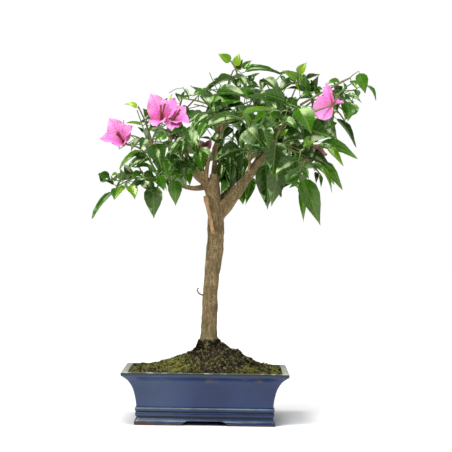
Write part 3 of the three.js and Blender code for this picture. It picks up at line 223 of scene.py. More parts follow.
# Leaves that show in front, in points of the photograph: foot, tip, the tip's depth in millimetres, width,
# how far the face looks aside and up, bend and tint.
LEAVES_IN_VIEW = {
    "front_top": [
        [213, 95, 247, 102, -62, 13, 0.1, 1.3, 1.1, 2], [240, 101, 215, 112, -74, 14, -0.2, 1.2, 1.3, 1],
        [240, 118, 202, 133, -104, 13, -0.2, 0.9, 0.8, 2], [213, 114, 191, 129, -92, 9, -0.3, 0.9, 0.7, 2],
        [288, 103, 254, 95, -92, 14, 0.2, 0.9, 0.6, 2], [241, 118, 277, 117, -112, 7, 0.1, 0.9, 1.3, 3],
        [253, 133, 238, 147, -100, 11, -0.5, 0.6, 0.5, 2], [199, 95, 211, 110, -56, 8, 0.4, 0.9, 0.7, 2],
        [262, 98, 258, 112, -70, 11, 0.1, 0.2, 0.4, 0], [254, 110, 268, 103, -66, 9, 0, 0.8, 0.5, 1],
    ],
    "front_left": [
        [205, 112, 188, 124, -84, 10, -0.2, 0.6, 0.5, 2], [244, 149, 215, 160, -66, 15, -0.1, 0.8, 0.7, 0],
        [199, 150, 203, 171, -72, 14, -0.2, 0.2, 0.4, 1], [190, 129, 192, 148, -104, 10, 0.1, 0.9, 0.6, 2],
        [155, 142, 162, 169, -100, 16, -0.2, 0.6, 0.6, 2], [161, 157, 168, 180, -94, 12, 0.2, 0.3, 0.5, 1],
        [170, 179, 169, 190, -52, 7, 0, 0.2, 0.4, 0], [172, 150, 176, 170, -66, 13, 0.1, 0.3, 0.5, 0],
        [185, 160, 180, 180, -60, 12, -0.2, 0.3, 0.4, 0], [186, 137, 178, 152, -80, 11, -0.4, 0.5, 0.5, 0],
        [194, 137, 197, 159, -84, 9, 0.1, 0.4, 0.4, 0], [184, 139, 181, 160, -88, 9, -0.1, 0.4, 0.4, 0],
        [187, 155, 193, 175, -76, 10, 0.2, 0.3, 0.4, 0], [178, 159, 187, 181, -80, 10, 0.2, 0.3, 0.4, 0],
        [187, 169, 190, 186, -68, 9, 0.1, 0.2, 0.4, 1], [191, 160, 197, 176, -72, 8, 0.3, 0.4, 0.4, 1],
        [178, 142, 169, 158, -90, 10, -0.3, 0.6, 0.5, 2], [181, 170, 171, 182, -82, 9, -0.2, 0.5, 0.5, 1],
        [166, 134, 155, 141, -74, 9, 0.2, 0.4, 0.4, 1], [162, 145, 176, 147, -62, 7, 0.1, 0.8, 0.5, 2],
        [166, 157, 182, 161, -86, 8, 0.1, 0.8, 0.6, 2], [199, 149, 213, 159, -36, 9, 0.2, 0.7, 0.5, 1],
        [240, 120, 224, 126, -44, 8, 0, 0.8, 0.5, 0], [207, 122, 199, 140, -60, 9, -0.2, 0.5, 0.4, 1],
        [247, 123, 241, 134, -44, 7, 0, 0.5, 0.4, 0],
    ],
    "front_right": [
        [292, 112, 278, 127, -88, 10, 0, 0.8, 0.5, 0], [283, 115, 267, 121, -86, 9, 0, 0.9, 0.6, 1],
        [246, 127, 266, 150, -106, 20, -0.3, 0.8, 0.5, 2],
        [261, 126, 269, 151, -116, 14, 0.4, 0.6, 0.5, 2], [276, 138, 272, 178, -92, 22, 0.1, 0.2, 0.3, 0],
        [299, 160, 274, 177, -100, 14, 0.1, 0.8, 0.8, 0], [231, 155, 230, 181, -52, 10, -0.3, 0.2, 0.3, 0],
        [242, 153, 242, 180, -60, 12, 0.1, 0.2, 0.3, 0], [297, 107, 311, 133, -104, 17, 0.2, 0.8, 0.7, 1],
        [281, 119, 299, 131, -96, 9, 0.1, 0.9, 0.7, 1], [303, 132, 282, 141, -94, 14, 0.1, 0.7, 0.5, 2],
        [314, 138, 303, 147, -100, 10, -0.2, 0.3, 0.4, 3], [322, 128, 337, 139, -72, 14, 0.3, 0.6, 0.5, 2],
        [290, 118, 270, 128, -72, 10, -0.2, 0.8, 0.6, 1], [288, 109, 275, 123, -76, 10, -0.2, 0.6, 0.5, 2],
        [300, 124, 284, 131, -80, 9, 0.1, 0.9, 0.6, 2], [283, 138, 268, 140, -76, 7, 0, 0.9, 0.4, 1],
        [300, 140, 285, 149, -64, 9, -0.1, 0.8, 0.5, 1], [288, 146, 301, 156, -62, 8, 0.2, 0.8, 0.5, 0],
        [286, 146, 281, 160, -66, 8, 0, 0.4, 0.4, 1], [306, 146, 296, 158, -70, 9, 0, 0.6, 0.5, 0],
        [268, 118, 256, 130, -84, 9, -0.2, 0.7, 0.5, 1], [262, 150, 256, 160, -20, 6, 0, 0.4, 0.4, 0],
    ],
    "upper_left": [
        [183, 88, 189, 101, -22, 6, 0.8, 0.4, 0.5, 2], [204, 90, 192, 97, -30, 8, 0, 0.6, 0.5, 1],
        [176, 93, 180, 102, -20, 6, 0.5, 0.3, 0.4, 2],
    ],
    "top": [
        [207, 94, 217, 80, -34, 6, -0.5, 0.6, 0.6, 2], [263, 78, 280, 95, -44, 10, 0.3, 0.9, 0.7, 2],
        [240, 76, 246, 88, -30, 8, 0.3, 0.8, 0.4, 2], [237, 79, 208, 93, -26, 7, 0, 1, 1.1, 2],
        [237, 79, 237, 89, -20, 7, 0.3, 0.3, 0.4, 0], [252, 75, 249, 85, -24, 7, 0.2, 0.4, 0.4, 2],
        [266, 78, 261, 91, -30, 9, -0.3, 0.3, 0.4, 0], [246, 88, 262, 88, -36, 7, 0, 1, 0.5, 2],
        [236, 70, 243, 59, -6, 7, 0.3, 0.3, 0.4, 2],
    ],
    "top_right": [
        [301, 91, 293, 82, -30, 6, 0, 0.5, 0.5, 4], [308, 93, 319, 75, -24, 9, 0.3, 0.2, 0.4, 0],
        [306, 94, 305, 74, -30, 11, -0.2, 0.3, 0.4, 1], [300, 90, 286, 88, -30, 5, 0, 0.8, 0.4, 2],
        [304, 80, 320, 74, -22, 6, 0, 0.6, 0.4, 0], [323, 88, 311, 94, -26, 6, 0, 0.8, 0.4, 1],
        [319, 95, 314, 85, -26, 6, -0.3, 0.4, 0.4, 1], [294, 82, 281, 96, -34, 9, -0.2, 1.2, 1.3, 0],
        [281, 75, 284, 84, -24, 5, 0.3, 0.4, 0.4, 1], [312, 92, 300, 98, -34, 8, 0, 0.8, 0.5, 1],
    ],
    "right_low": [
        [326, 147, 343, 167, -50, 8, 0.3, 0.4, 0.6, 3], [297, 156, 330, 169, -66, 12, 0.2, 1.1, 1, 0],
        [318, 166, 331, 192, -46, 6, 0.5, 0.4, 1, 3], [299, 181, 289, 188, -52, 6, 0.2, 0.4, 0.4, 1],
        [302, 167, 309, 180, -56, 7, 0.1, 0.5, 0.4, 1], [316, 171, 316, 184, -30, 5, 0.2, 0.1, 0.3, 2],
        [320, 174, 321, 188, -24, 4, 0.2, 0.1, 0.3, 3],
    ],
    "right": [
        [344, 91, 334, 96, -28, 8, -0.2, 0.4, 0.4, 2], [345, 95, 362, 103, -24, 8, 0.2, 0.9, 0.7, 1],
        [359, 97, 353, 89, -16, 8, 0.2, 0.3, 0.4, 1], [345, 101, 343, 121, -36, 13, 0.8, 0.5, 1.5, 1],
        [335, 103, 338, 114, -40, 8, -0.6, 0.3, 0.5, 0], [352, 101, 345, 120, -32, 17, 0.2, 0.5, 0.4, 1],
        [341, 82, 325, 85, -26, 8, -0.1, 0.9, 0.7, 1], [345, 91, 343, 81, -24, 5, 0.3, 0.3, 0.3, 1],
        [351, 80, 357, 89, -22, 7, 0.2, 0.4, 0.4, 1],
    ],
    "left": [
        [143, 126, 126, 124, -30, 4, 0, 1, 0.6, 4], [147, 117, 143, 108, -26, 8, 0.2, 0.4, 0.4, 3],
        [148, 132, 160, 125, -40, 6, 0, 0.9, 0.7, 1], [146, 152, 123, 171, -40, 8, -0.4, 1, 1.2, 3],
        [151, 160, 128, 170, -52, 9, -0.3, 1, 1, 2], [150, 167, 133, 169, -44, 8, -0.1, 0.9, 0.8, 1],
        [144, 133, 137, 127, -36, 4, -0.2, 0.5, 0.3, 1], [148, 158, 128, 157, -46, 7, -0.1, 0.9, 0.7, 1],
        [154, 173, 147, 163, -44, 7, -0.2, 0.4, 0.4, 1], [143, 138, 131, 151, -50, 7, -0.6, 0.7, 0.7, 2],
        [146, 137, 140, 151, -58, 9, 0.2, 0.4, 0.4, 2],
    ],
    "left_low": [
        [142, 171, 131, 181, -42, 8, -0.2, 0.7, 0.6, 1], [111, 178, 97, 175, -34, 9, -0.1, 0.8, 0.5, 2],
        [115, 185, 104, 180, -34, 7, 0, 0.8, 0.4, 2], [111, 176, 119, 175, -40, 7, 0.1, 0.8, 0.5, 3],
        [127, 180, 120, 168, -36, 8, -0.5, 0.5, 0.4, 2], [126, 185, 114, 201, -36, 7, -0.3, 0.4, 0.5, 3],
        [130, 184, 135, 200, -44, 9, 0.2, 0.3, 0.5, 3], [157, 179, 139, 180, -64, 13, 0.1, 0.9, 0.8, 2],
        [142, 178, 156, 194, -52, 12, -0.1, 0.5, 0.4, 0],
    ],
    "heart": [
        [229, 157, 223, 197, 12, 14, 0.1, 0.1, 0.3, 0], [237, 158, 227, 194, 6, 13, 0, 0.1, 0.3, 0],
        [222, 160, 219, 185, 2, 9, 0, 0.1, 0.3, 0], [227, 180, 221, 194, -4, 9, 0.2, 0.2, 0.4, 1],
        [244, 160, 236, 186, 4, 10, 0, 0.1, 0.3, 0], [252, 174, 245, 206, 24, 11, 0.2, 0.1, 0.3, 1],
        [211, 135, 224, 147, -20, 9, 0.1, 0.6, 0.4, 0], [212, 140, 200, 138, -14, 4, 0, 0.9, 0.3, 2],
        [218, 146, 221, 168, 22, 14, 0, 0.2, 0.3, 0], [232, 148, 236, 170, 24, 15, 0, 0.2, 0.3, 0],
        [247, 145, 243, 168, 20, 12, 0.1, 0.2, 0.3, 0], [229, 158, 219, 178, 24, 12, 0, 0.2, 0.3, 0],
        [224, 145, 219, 163, -20, 9, 0, 0.3, 0.4, 0], [240, 150, 226, 166, -18, 12, 0, 0.4, 0.4, 0],
        [233, 127, 222, 140, -24, 8, 0, 0.5, 0.4, 0], [240, 128, 238, 147, -30, 8, 0, 0.4, 0.4, 0],
        [216, 130, 222, 150, -6, 9, 0.1, 0.4, 0.4, 0], [236, 142, 224, 152, -12, 8, 0, 0.4, 0.4, 0],
    ],
}

# Green stems that show, in points of the photograph, with their depth and their first and last radius.
STEMS_IN_VIEW = [
    dict(places=[[155, 172], [150, 158], [147, 140], [137, 110]], depth=-34, radius=[1.3, 0.8]),
    dict(places=[[213, 106], [198, 101], [182, 98]], depth=-26, radius=[1.4, 1.2]),
    dict(places=[[169, 93], [176, 89], [183, 88]], depth=-24, radius=[0.6, 0.4]),
    dict(places=[[300, 105], [325, 91], [350, 78]], depth=-30, radius=[1.8, 1.1]),
    dict(places=[[336, 97], [346, 87], [353, 83]], depth=-26, radius=[1.2, 0.8]),
    dict(places=[[127, 183], [113, 180], [100, 182]], depth=-30, radius=[0.8, 0.5]),
    dict(places=[[238, 80], [236, 70], [231, 61]], depth=-9, radius=[1.6, 1.0]),
    dict(places=[[304, 92], [300, 82], [299, 70]], depth=-20, radius=[1.0, 0.7]),
    dict(places=[[262, 162], [257, 154], [250, 150]], depth=-16, radius=[1.0, 0.7]),
]

# What no leaf hides, in points of the photograph: foot, tip, depth and width.
CLEAR_VIEWS = [
    [249, 171, 251, 149, -16, 9], [271, 135, 286, 133, -12, 6], [214, 200, 214, 172, -14, 13],
    [204, 184, 196, 172, -24, 8], [228, 205, 262, 162, -20, 9], [192, 186, 204, 187, -20, 6],
]

# Where the photographed crown is open to the sky, as middles and half sizes in points of the photograph.
SKY_WINDOWS = np.array([
    [208.5, 133.5, 5, 4.5], [231, 140.5, 5, 3.5], [174.5, 148.5, 5, 2.2], [165.5, 156, 1.8, 2.4],
    [182.5, 156, 1.8, 2.2], [211.5, 168.5, 2.4, 5], [193.5, 181, 4.5, 3.2], [136, 158, 5, 3],
    [269.5, 89.5, 4, 4], [258, 86, 1.6, 1.6], [289.5, 91, 8, 5.5], [304, 102.5, 6, 3.8],
    [297.5, 129, 2, 1.6], [285.5, 157.5, 2, 1.6], [311.5, 175.5, 3.8, 5], [338.5, 115, 1.8, 2.4],
    [221, 85, 11, 4.5], [195, 102.5, 13, 3.6], [243, 100, 3, 3], [155, 142, 3, 2.2], [165, 140, 3, 2],
    [187, 124, 2, 1.6], [136, 145, 3, 4], [321, 84, 4, 4], [265, 174, 3.5, 6],
    [196, 70, 17, 12], [212, 70, 8, 6], [190, 80, 8, 5], [124, 110, 14, 8], [138, 96, 12, 8],
    [135, 130, 9, 5], [110, 158, 15, 9], [101, 128, 8, 8], [104, 147, 10, 5], [100, 190, 7, 6],
    [125, 202, 9, 7], [139, 194, 4, 7], [327, 70, 9, 8], [342, 70, 10, 6], [352, 68, 6, 5],
    [314, 67, 8, 6], [366, 112, 7, 16], [355, 124, 8, 8], [341, 132, 5, 9], [329, 158, 5, 4],
    [291, 198, 6, 10], [287, 190, 5, 6], [254.5, 197, 5, 8], [325, 184, 4, 7], [349, 89, 4, 3],
    [200, 107, 8, 4], [93, 180, 5, 4], [110, 190, 7, 4], [126, 151, 4, 5], [132, 140, 6, 6],
    [145, 104, 4, 4], [309, 71, 8, 4], [353, 92, 5, 3.5], [132, 118, 10, 2.5], [274, 75, 4, 3],
])

# The growth rule's sizes, as in the solids.
STEM_RADIUS = [2.4, 1.9]
STEM_START = 40
STEM_END = 0.3
STEM_PULL = 0.5
SHOOT_RADIUS = [1.2, 0.9]
SHOOT_START = 12
SHOOT_FEET = [0.4, 0.97]
SHOOT_SPREAD = [0.66, 0.78]
SHOOT_LIFT = 0.16
SIDE_TWIG_RADIUS = [0.7, 0.6]
SIDE_TWIG_LENGTH = 30
SIDE_TWIG_VARIETY = [0.8, 1.25]
SIDE_TWIG_START = 9
SIDE_TWIG_LEAN = 0.8
SIDE_TWIG_LIFT = 0.1
SIDE_LEAF_SIZE = 0.85
SHORTEST_TWIG = 12
TWIG_CUT = 0.12
TWIG_CUTS = 8
TWIG_SAMPLES = 12
LEAF_SPACING = 9
LEAF_ATTEMPTS = 5
ATTEMPT_TURN = 1.9
LEAF_VARIETY = [0.85, 1.15]
LEAF_SHRINK = 0.45
LEAF_BEND = [0.3, 0.9]
LEAF_LEAN = [0.25, 0.6]
YOUNG_END = 0.8
YOUNG = 0.7
YOUNG_STRAIGHTNESS = 0.4
END_LEAF_SIZE = 0.6
LEAF_SLENDERNESS = 0.47
LEAF_MIDDLE = 0.45
LEAF_FOLD = 0.14
LEAF_ARM_RADIUS = 3
LEAF_TIP_ROOM = 0.25
LEAF_DROOP = 0.5
FACING_UP = 0.5
FACING_STRAY = 1.2
LIMB_ROOM = 1.6
TWIG_ROOM = 0.8
TWIG_SHADOW = 3.5
SPACE_ROOM = 0.7
SPACE_POWER = 4
STALK_RADIUS = [1.5, 1.1]
SIDE_STALK_ROOM = 1.4
SPIKE_RADIUS = 3
BRACT_OFFSET = 0.6
BRACT_BEND = 0.3
HANGING_BEND = 0.5
BEND_LENGTHENING = 0.12
TOWARDS_VIEWER = [0, -1, 0.3]
FORK_WINDOW = np.array([[24, -62, 300], [44, 66, 46]])
CROWN_CENTRE = np.array([30, 40, 345])

# The finer twigs that the solids leave out.
FINE_SEED = 500
FINE_TWIG_SPACING = 17
FINE_TWIG_LENGTH = [14, 30]
FINE_TWIG_RADIUS = [0.55, 0.4]
FINE_TWIG_START = 5
FINE_TWIG_LEAN = 0.75
FINE_LEAF_SPACING = 9.5

# Vectors and curves.


def unit(vectors):
    vectors = np.asarray(vectors, float)
    return vectors / np.maximum(np.linalg.norm(vectors, axis=-1, keepdims=True), 1e-12)


def blend(first, last, share):
    return first + (last - first) * share


def metres(points):
    return np.asarray(points, float) * MM + POT_MIDDLE


def squared(direction, axis):
    """The part of one direction that is square to another, as a unit vector."""
    axis = unit(axis)
    return unit(direction - axis * np.dot(direction, axis))


def around(axis, angle):
    """A unit vector square to an axis, turned about it by an angle."""
    first = squared([1.0, 0, 0] if abs(axis[2]) > 0.9 else [0, 0, 1.0], axis)
    return first * math.cos(angle) + np.cross(axis, first) * math.sin(angle)


def smooth(points, count):
    """So many points of a smooth curve through the given ones."""
    points = np.asarray(points, float)
    padded = np.vstack([2 * points[0] - points[1], points, 2 * points[-1] - points[-2]])
    spans = len(points) - 1
    place = np.linspace(0, spans, count)
    span = np.minimum(np.floor(place).astype(int), spans - 1)
    part = (place - span)[:, None]
    before, start, end, after = (padded[span + k] for k in range(4))
    leave, arrive = (end - before) / 2, (after - start) / 2
    return (start + leave * part + (3 * (end - start) - 2 * leave - arrive) * part**2
            + (2 * (start - end) + leave + arrive) * part**3)


def arch_at(start, pull, end, share):
    return (1 - share)**2 * start + 2 * share * (1 - share) * pull + share**2 * end


def arch(start, pull, end, steps):
    return arch_at(start, pull, end, np.linspace(0, 1, steps + 1)[:, None])


def tapering(path, radius):
    """A path's points, each with its radius."""
    return np.column_stack([path, np.linspace(*radius, len(path))])


class Draws:
    """The even random numbers of the solids' rule."""

    def __init__(self, seed):
        self.state = seed * 7919

    def __call__(self, low=0, high=1):
        self.state = self.state * 48271 % 2147483647
        return low + (high - low) * self.state / 2147483647

    def turn(self):
        return FULL_TURN * self()

    def way(self):
        return np.array([self() - 0.5, self() - 0.5, self() - 0.5])


# Blades: a leaf or a bract as its foot, a straight half ahead and a half that bends down.

FOOT, MIDDLE, TIP, LEFT, RIGHT = range(5)
BLADE_TRIANGLES = [[FOOT, LEFT, MIDDLE], [LEFT, TIP, MIDDLE], [TIP, RIGHT, MIDDLE], [RIGHT, FOOT, MIDDLE]]
BLADE_EDGES = np.array([pair for a, b, c in BLADE_TRIANGLES for pair in ([a, b], [b, c])])


@dataclass
class Blade:
    foot: np.ndarray
    ahead: np.ndarray
    normal: np.ndarray
    length: float
    width: float
    bend: float
    young: float = 0
    spray: int = 0
    tint: int = -1

    def __post_init__(self):
        self.side = unit(np.cross(self.normal, self.ahead))
        middle = self.foot + self.ahead * LEAF_MIDDLE * self.length
        down = self.ahead * math.cos(self.bend) - self.normal * math.sin(self.bend)
        tip = middle + down * (1 - LEAF_MIDDLE) * self.length
        lifted = middle + self.normal * LEAF_FOLD * self.width
        spread = self.side * self.width / 2
        self.corners = np.array([self.foot, middle, tip, lifted + spread, lifted - spread])

    def stretches(self):
        middle = self.corners[MIDDLE]
        arms = [[middle, self.corners[end], LEAF_ARM_RADIUS] for end in (LEFT, RIGHT, FOOT)]
        return [[middle, self.corners[TIP], self.width * LEAF_TIP_ROOM]] + arms


def sample_weights():
    """Shares of a blade's corners that give points spread over it."""
    corner = np.eye(5)
    rows = []
    for share in np.arange(1, 10) / 9:
        if share < LEAF_MIDDLE:
            part = share / LEAF_MIDDLE
            rib = blend(corner[FOOT], corner[MIDDLE], part)
            rims = [blend(corner[FOOT], corner[edge], part) for edge in (LEFT, RIGHT)]
        else:
            part = (share - LEAF_MIDDLE) / (1 - LEAF_MIDDLE)
            rib = blend(corner[MIDDLE], corner[TIP], part)
            rims = [blend(corner[edge], corner[TIP], part) for edge in (LEFT, RIGHT)]
        rows.append(rib)
        for rim in rims:
            rows += [rim, (rib + rim) / 2]
    return np.array(rows)


SAMPLE_WEIGHTS = sample_weights()


def blade_to(foot, tip, width, facing=TOWARDS_VIEWER, bend=HANGING_BEND, **kind):
    """A blade from its foot to its tip, with its face looking a given way."""
    foot = np.asarray(foot, float)
    chord = tip - foot
    normal = squared(np.asarray(facing, float), chord)
    rise = bend * (1 - LEAF_MIDDLE)
    ahead = unit(chord) * math.cos(rise) + normal * math.sin(rise)
    length = np.linalg.norm(chord) * (1 + BEND_LENGTHENING * bend * bend)
    return Blade(foot, ahead, squared(normal, ahead), length, width, bend, **kind)


def hanging_blades(name):
    return [blade_to(foot, tip, width, *turned, tint=tint)
            for tint, foot, tip, width, *turned in MASSES[name].get("hanging", [])]


def flower_blades(flower):
    """A flower's three bracts, which stand about the end of its stalk."""
    at = np.array(flower["at"], float)
    return [blade_to(at + unit(tip - at) * BRACT_OFFSET, tip, width, facing, BRACT_BEND)
            for tip, width, facing in flower["bracts"]]


def all_flowers():
    return [flower for shoot in FLOWERING_SHOOTS.values() for flower in shoot["flowers"]]


def pierced(starts, ends, triangles):
    """Whether an edge of a row passes through a triangle of the same row."""
    way = (ends - starts)[:, :, None]
    corner = triangles[:, None, :, 0]
    one = triangles[:, None, :, 1] - corner
    two = triangles[:, None, :, 2] - corner
    across = np.cross(way, two)
    scale = (one * across).sum(-1)
    flat = np.abs(scale) < 1e-9
    scale = np.where(flat, 1, scale)
    offset = starts[:, :, None] - corner
    u = (offset * across).sum(-1) / scale
    turned = np.cross(offset, one)
    v = (way * turned).sum(-1) / scale
    share = (two * turned).sum(-1) / scale
    return bool((~flat & (u >= 0) & (v >= 0) & (u + v <= 1) & (share >= 0) & (share <= 1)).any())


class Blades:
    """Blades that none may cross."""

    def __init__(self, kept=()):
        self.corners = np.empty((0, 5, 3))
        self.lengths = np.empty(0)
        for blade in kept:
            self.keep(blade)

    def keep(self, blade):
        self.corners = np.concatenate([self.corners, blade.corners[None]])
        self.lengths = np.append(self.lengths, blade.length)

    def crossed(self, blade):
        apart = np.linalg.norm(self.corners[:, MIDDLE] - blade.corners[MIDDLE], axis=1)
        others = self.corners[apart <= (self.lengths + blade.length) * 0.6]
        own = np.broadcast_to(blade.corners, others.shape)
        starts, ends = BLADE_EDGES.T
        return len(others) > 0 and (pierced(own[:, starts], own[:, ends], others[:, BLADE_TRIANGLES])
                                    or pierced(others[:, starts], others[:, ends], own[:, BLADE_TRIANGLES]))


# Everything that stays clear of foliage, as short straight stretches, each with a radius.


class Stretches:
    def __init__(self):
        self.rows = np.empty((0, 7))

    def keep(self, stretches):
        rows = [[*start, *end, radius] for start, end, radius in stretches]
        self.rows = np.concatenate([self.rows, np.reshape(rows, (-1, 7))])

    def near(self, points, room):
        """Which of the points are nearer to a stretch than its radius and some room."""
        start, along, radius = self.rows[:, :3], self.rows[:, 3:6] - self.rows[:, :3], self.rows[:, 6]
        offset = points[:, None] - start
        share = np.clip((offset * along).sum(-1) / np.maximum((along**2).sum(-1), 1e-9), 0, 1)
        offset -= share[..., None] * along
        return ((offset**2).sum(-1) < (radius + room)**2).any(1)


def limb_stretches(line):
    steps = (len(line) - 1) * 2
    points = smooth(line[:, :3], steps + 1)
    return [[points[i], points[i + 1], line[min(len(line) - 1, i // 2), 3]] for i in range(steps)]


def plant_stretches():
    """The limbs, stems and flowers, which all masses keep clear of."""
    limbs = [tapering(**limb) for limb in [*TRUNK_GROWTHS, *BOUGHS.values(), *CUT_WOOD.values()]]
    stalks = [tapering(shoot["path"], STALK_RADIUS) for shoot in FLOWERING_SHOOTS.values()]
    found = []
    for line in [np.array(TRUNK), *limbs, *stalks, *stem_lines()]:
        found += limb_stretches(line)
    for flower in all_flowers():
        for blade in flower_blades(flower):
            found += blade.stretches()
        found.append([flower["at"], flower["spike"], SPIKE_RADIUS])
        if "stalk_from" in flower:
            found.append([flower["stalk_from"], flower["at"], SIDE_STALK_ROOM])
    return found


# The camera's place, and how it sees things against the plane through the trunk.
EYE = np.array([24.5, -2342, 261.8])
VIEW_LEAF_SLANT = 12
VIEW_LEAF_BROAD = 8
VIEW_ROOM = 4


def seen(points):
    """Where points stand in the photograph."""
    scale = EYE[1] / (EYE[1] - points[..., 1]) / PHOTO_SCALE
    x, z = (points[..., 0] - EYE[0]) * scale, (EYE[2] - points[..., 2]) * scale
    return PHOTO_MIDDLE + np.stack([x - z * PHOTO_TURN, z + x * PHOTO_TURN], -1)


def from_view(u, v, depth):
    """The point at some depth that shows at a place in the photograph."""
    across, down = u - PHOTO_MIDDLE, v - PHOTO_MIDDLE
    scale = (depth - EYE[1]) / -EYE[1] * PHOTO_SCALE
    return np.array([EYE[0] + (across + down * PHOTO_TURN) * scale, depth,
                     EYE[2] - (down - across * PHOTO_TURN) * scale])


def blades_in_view(name):
    """The leaves of a mass that show in front, their feet further back than their tips."""
    blades = []
    for foot_u, foot_v, tip_u, tip_v, depth, width, aside, up, bend, tint in LEAVES_IN_VIEW.get(name, []):
        foot = from_view(foot_u, foot_v, depth + VIEW_LEAF_SLANT)
        tip = from_view(tip_u, tip_v, depth)
        width *= PHOTO_SCALE * (math.hypot(1, up) if width > VIEW_LEAF_BROAD else 1)
        blades.append(blade_to(foot, tip, width, [aside, -1, up], bend, tint=tint))
    return blades


def stem_lines():
    return [tapering([from_view(u, v, stem["depth"]) for u, v in stem["places"]], stem["radius"])
            for stem in STEMS_IN_VIEW]


def in_sky(points):
    places = seen(points)[:, None]
    return (((places - SKY_WINDOWS[:, :2]) / SKY_WINDOWS[:, 2:])**2).sum(-1).min(1) < 1


class Views:
    """Leaves that the photograph shows whole, which no other leaf may hide."""

    def __init__(self, blades):
        outlines = np.array([blade.corners[[FOOT, LEFT, TIP, RIGHT]] for blade in blades])
        self.outlines = seen(outlines)
        self.depths = np.array([blade.corners[MIDDLE, 1] for blade in blades])

    def hidden(self, points):
        """Whether a point lies in front of one of them."""
        places = seen(points)[:, None, None]
        edges = np.roll(self.outlines, -1, 1) - self.outlines
        offset = places - self.outlines
        sides = edges[..., 0] * offset[..., 1] - edges[..., 1] * offset[..., 0]
        within = (sides > 0).all(-1) | (sides < 0).all(-1)
        return bool((within & (points[:, 1, None] < self.depths + VIEW_ROOM)).any())


# Foliage. A stem runs from the bough's tip to the middle of the mass. Shoots arch from it to their ends,
# leaves stand round each shoot by the golden angle, and side twigs carry more of them.


@dataclass
class Twig:
    points: np.ndarray
    radius: list
    start: float
    size: float
    spacing: float = LEAF_SPACING

    def __post_init__(self):
        self.pieces = np.linalg.norm(np.diff(self.points, axis=0), axis=1)
        self.ends = np.cumsum(self.pieces)

    def at(self, distance):
        """The point so far along the twig, and the way that the twig runs there."""
        i = int(np.searchsorted(self.ends, distance))
        before, after = self.points[i], self.points[i + 1]
        return blend(before, after, 1 - (self.ends[i] - distance) / self.pieces[i]), unit(after - before)


def reach_along(mass, direction):
    return 1 / np.linalg.norm(direction / np.array(mass["reach"]))


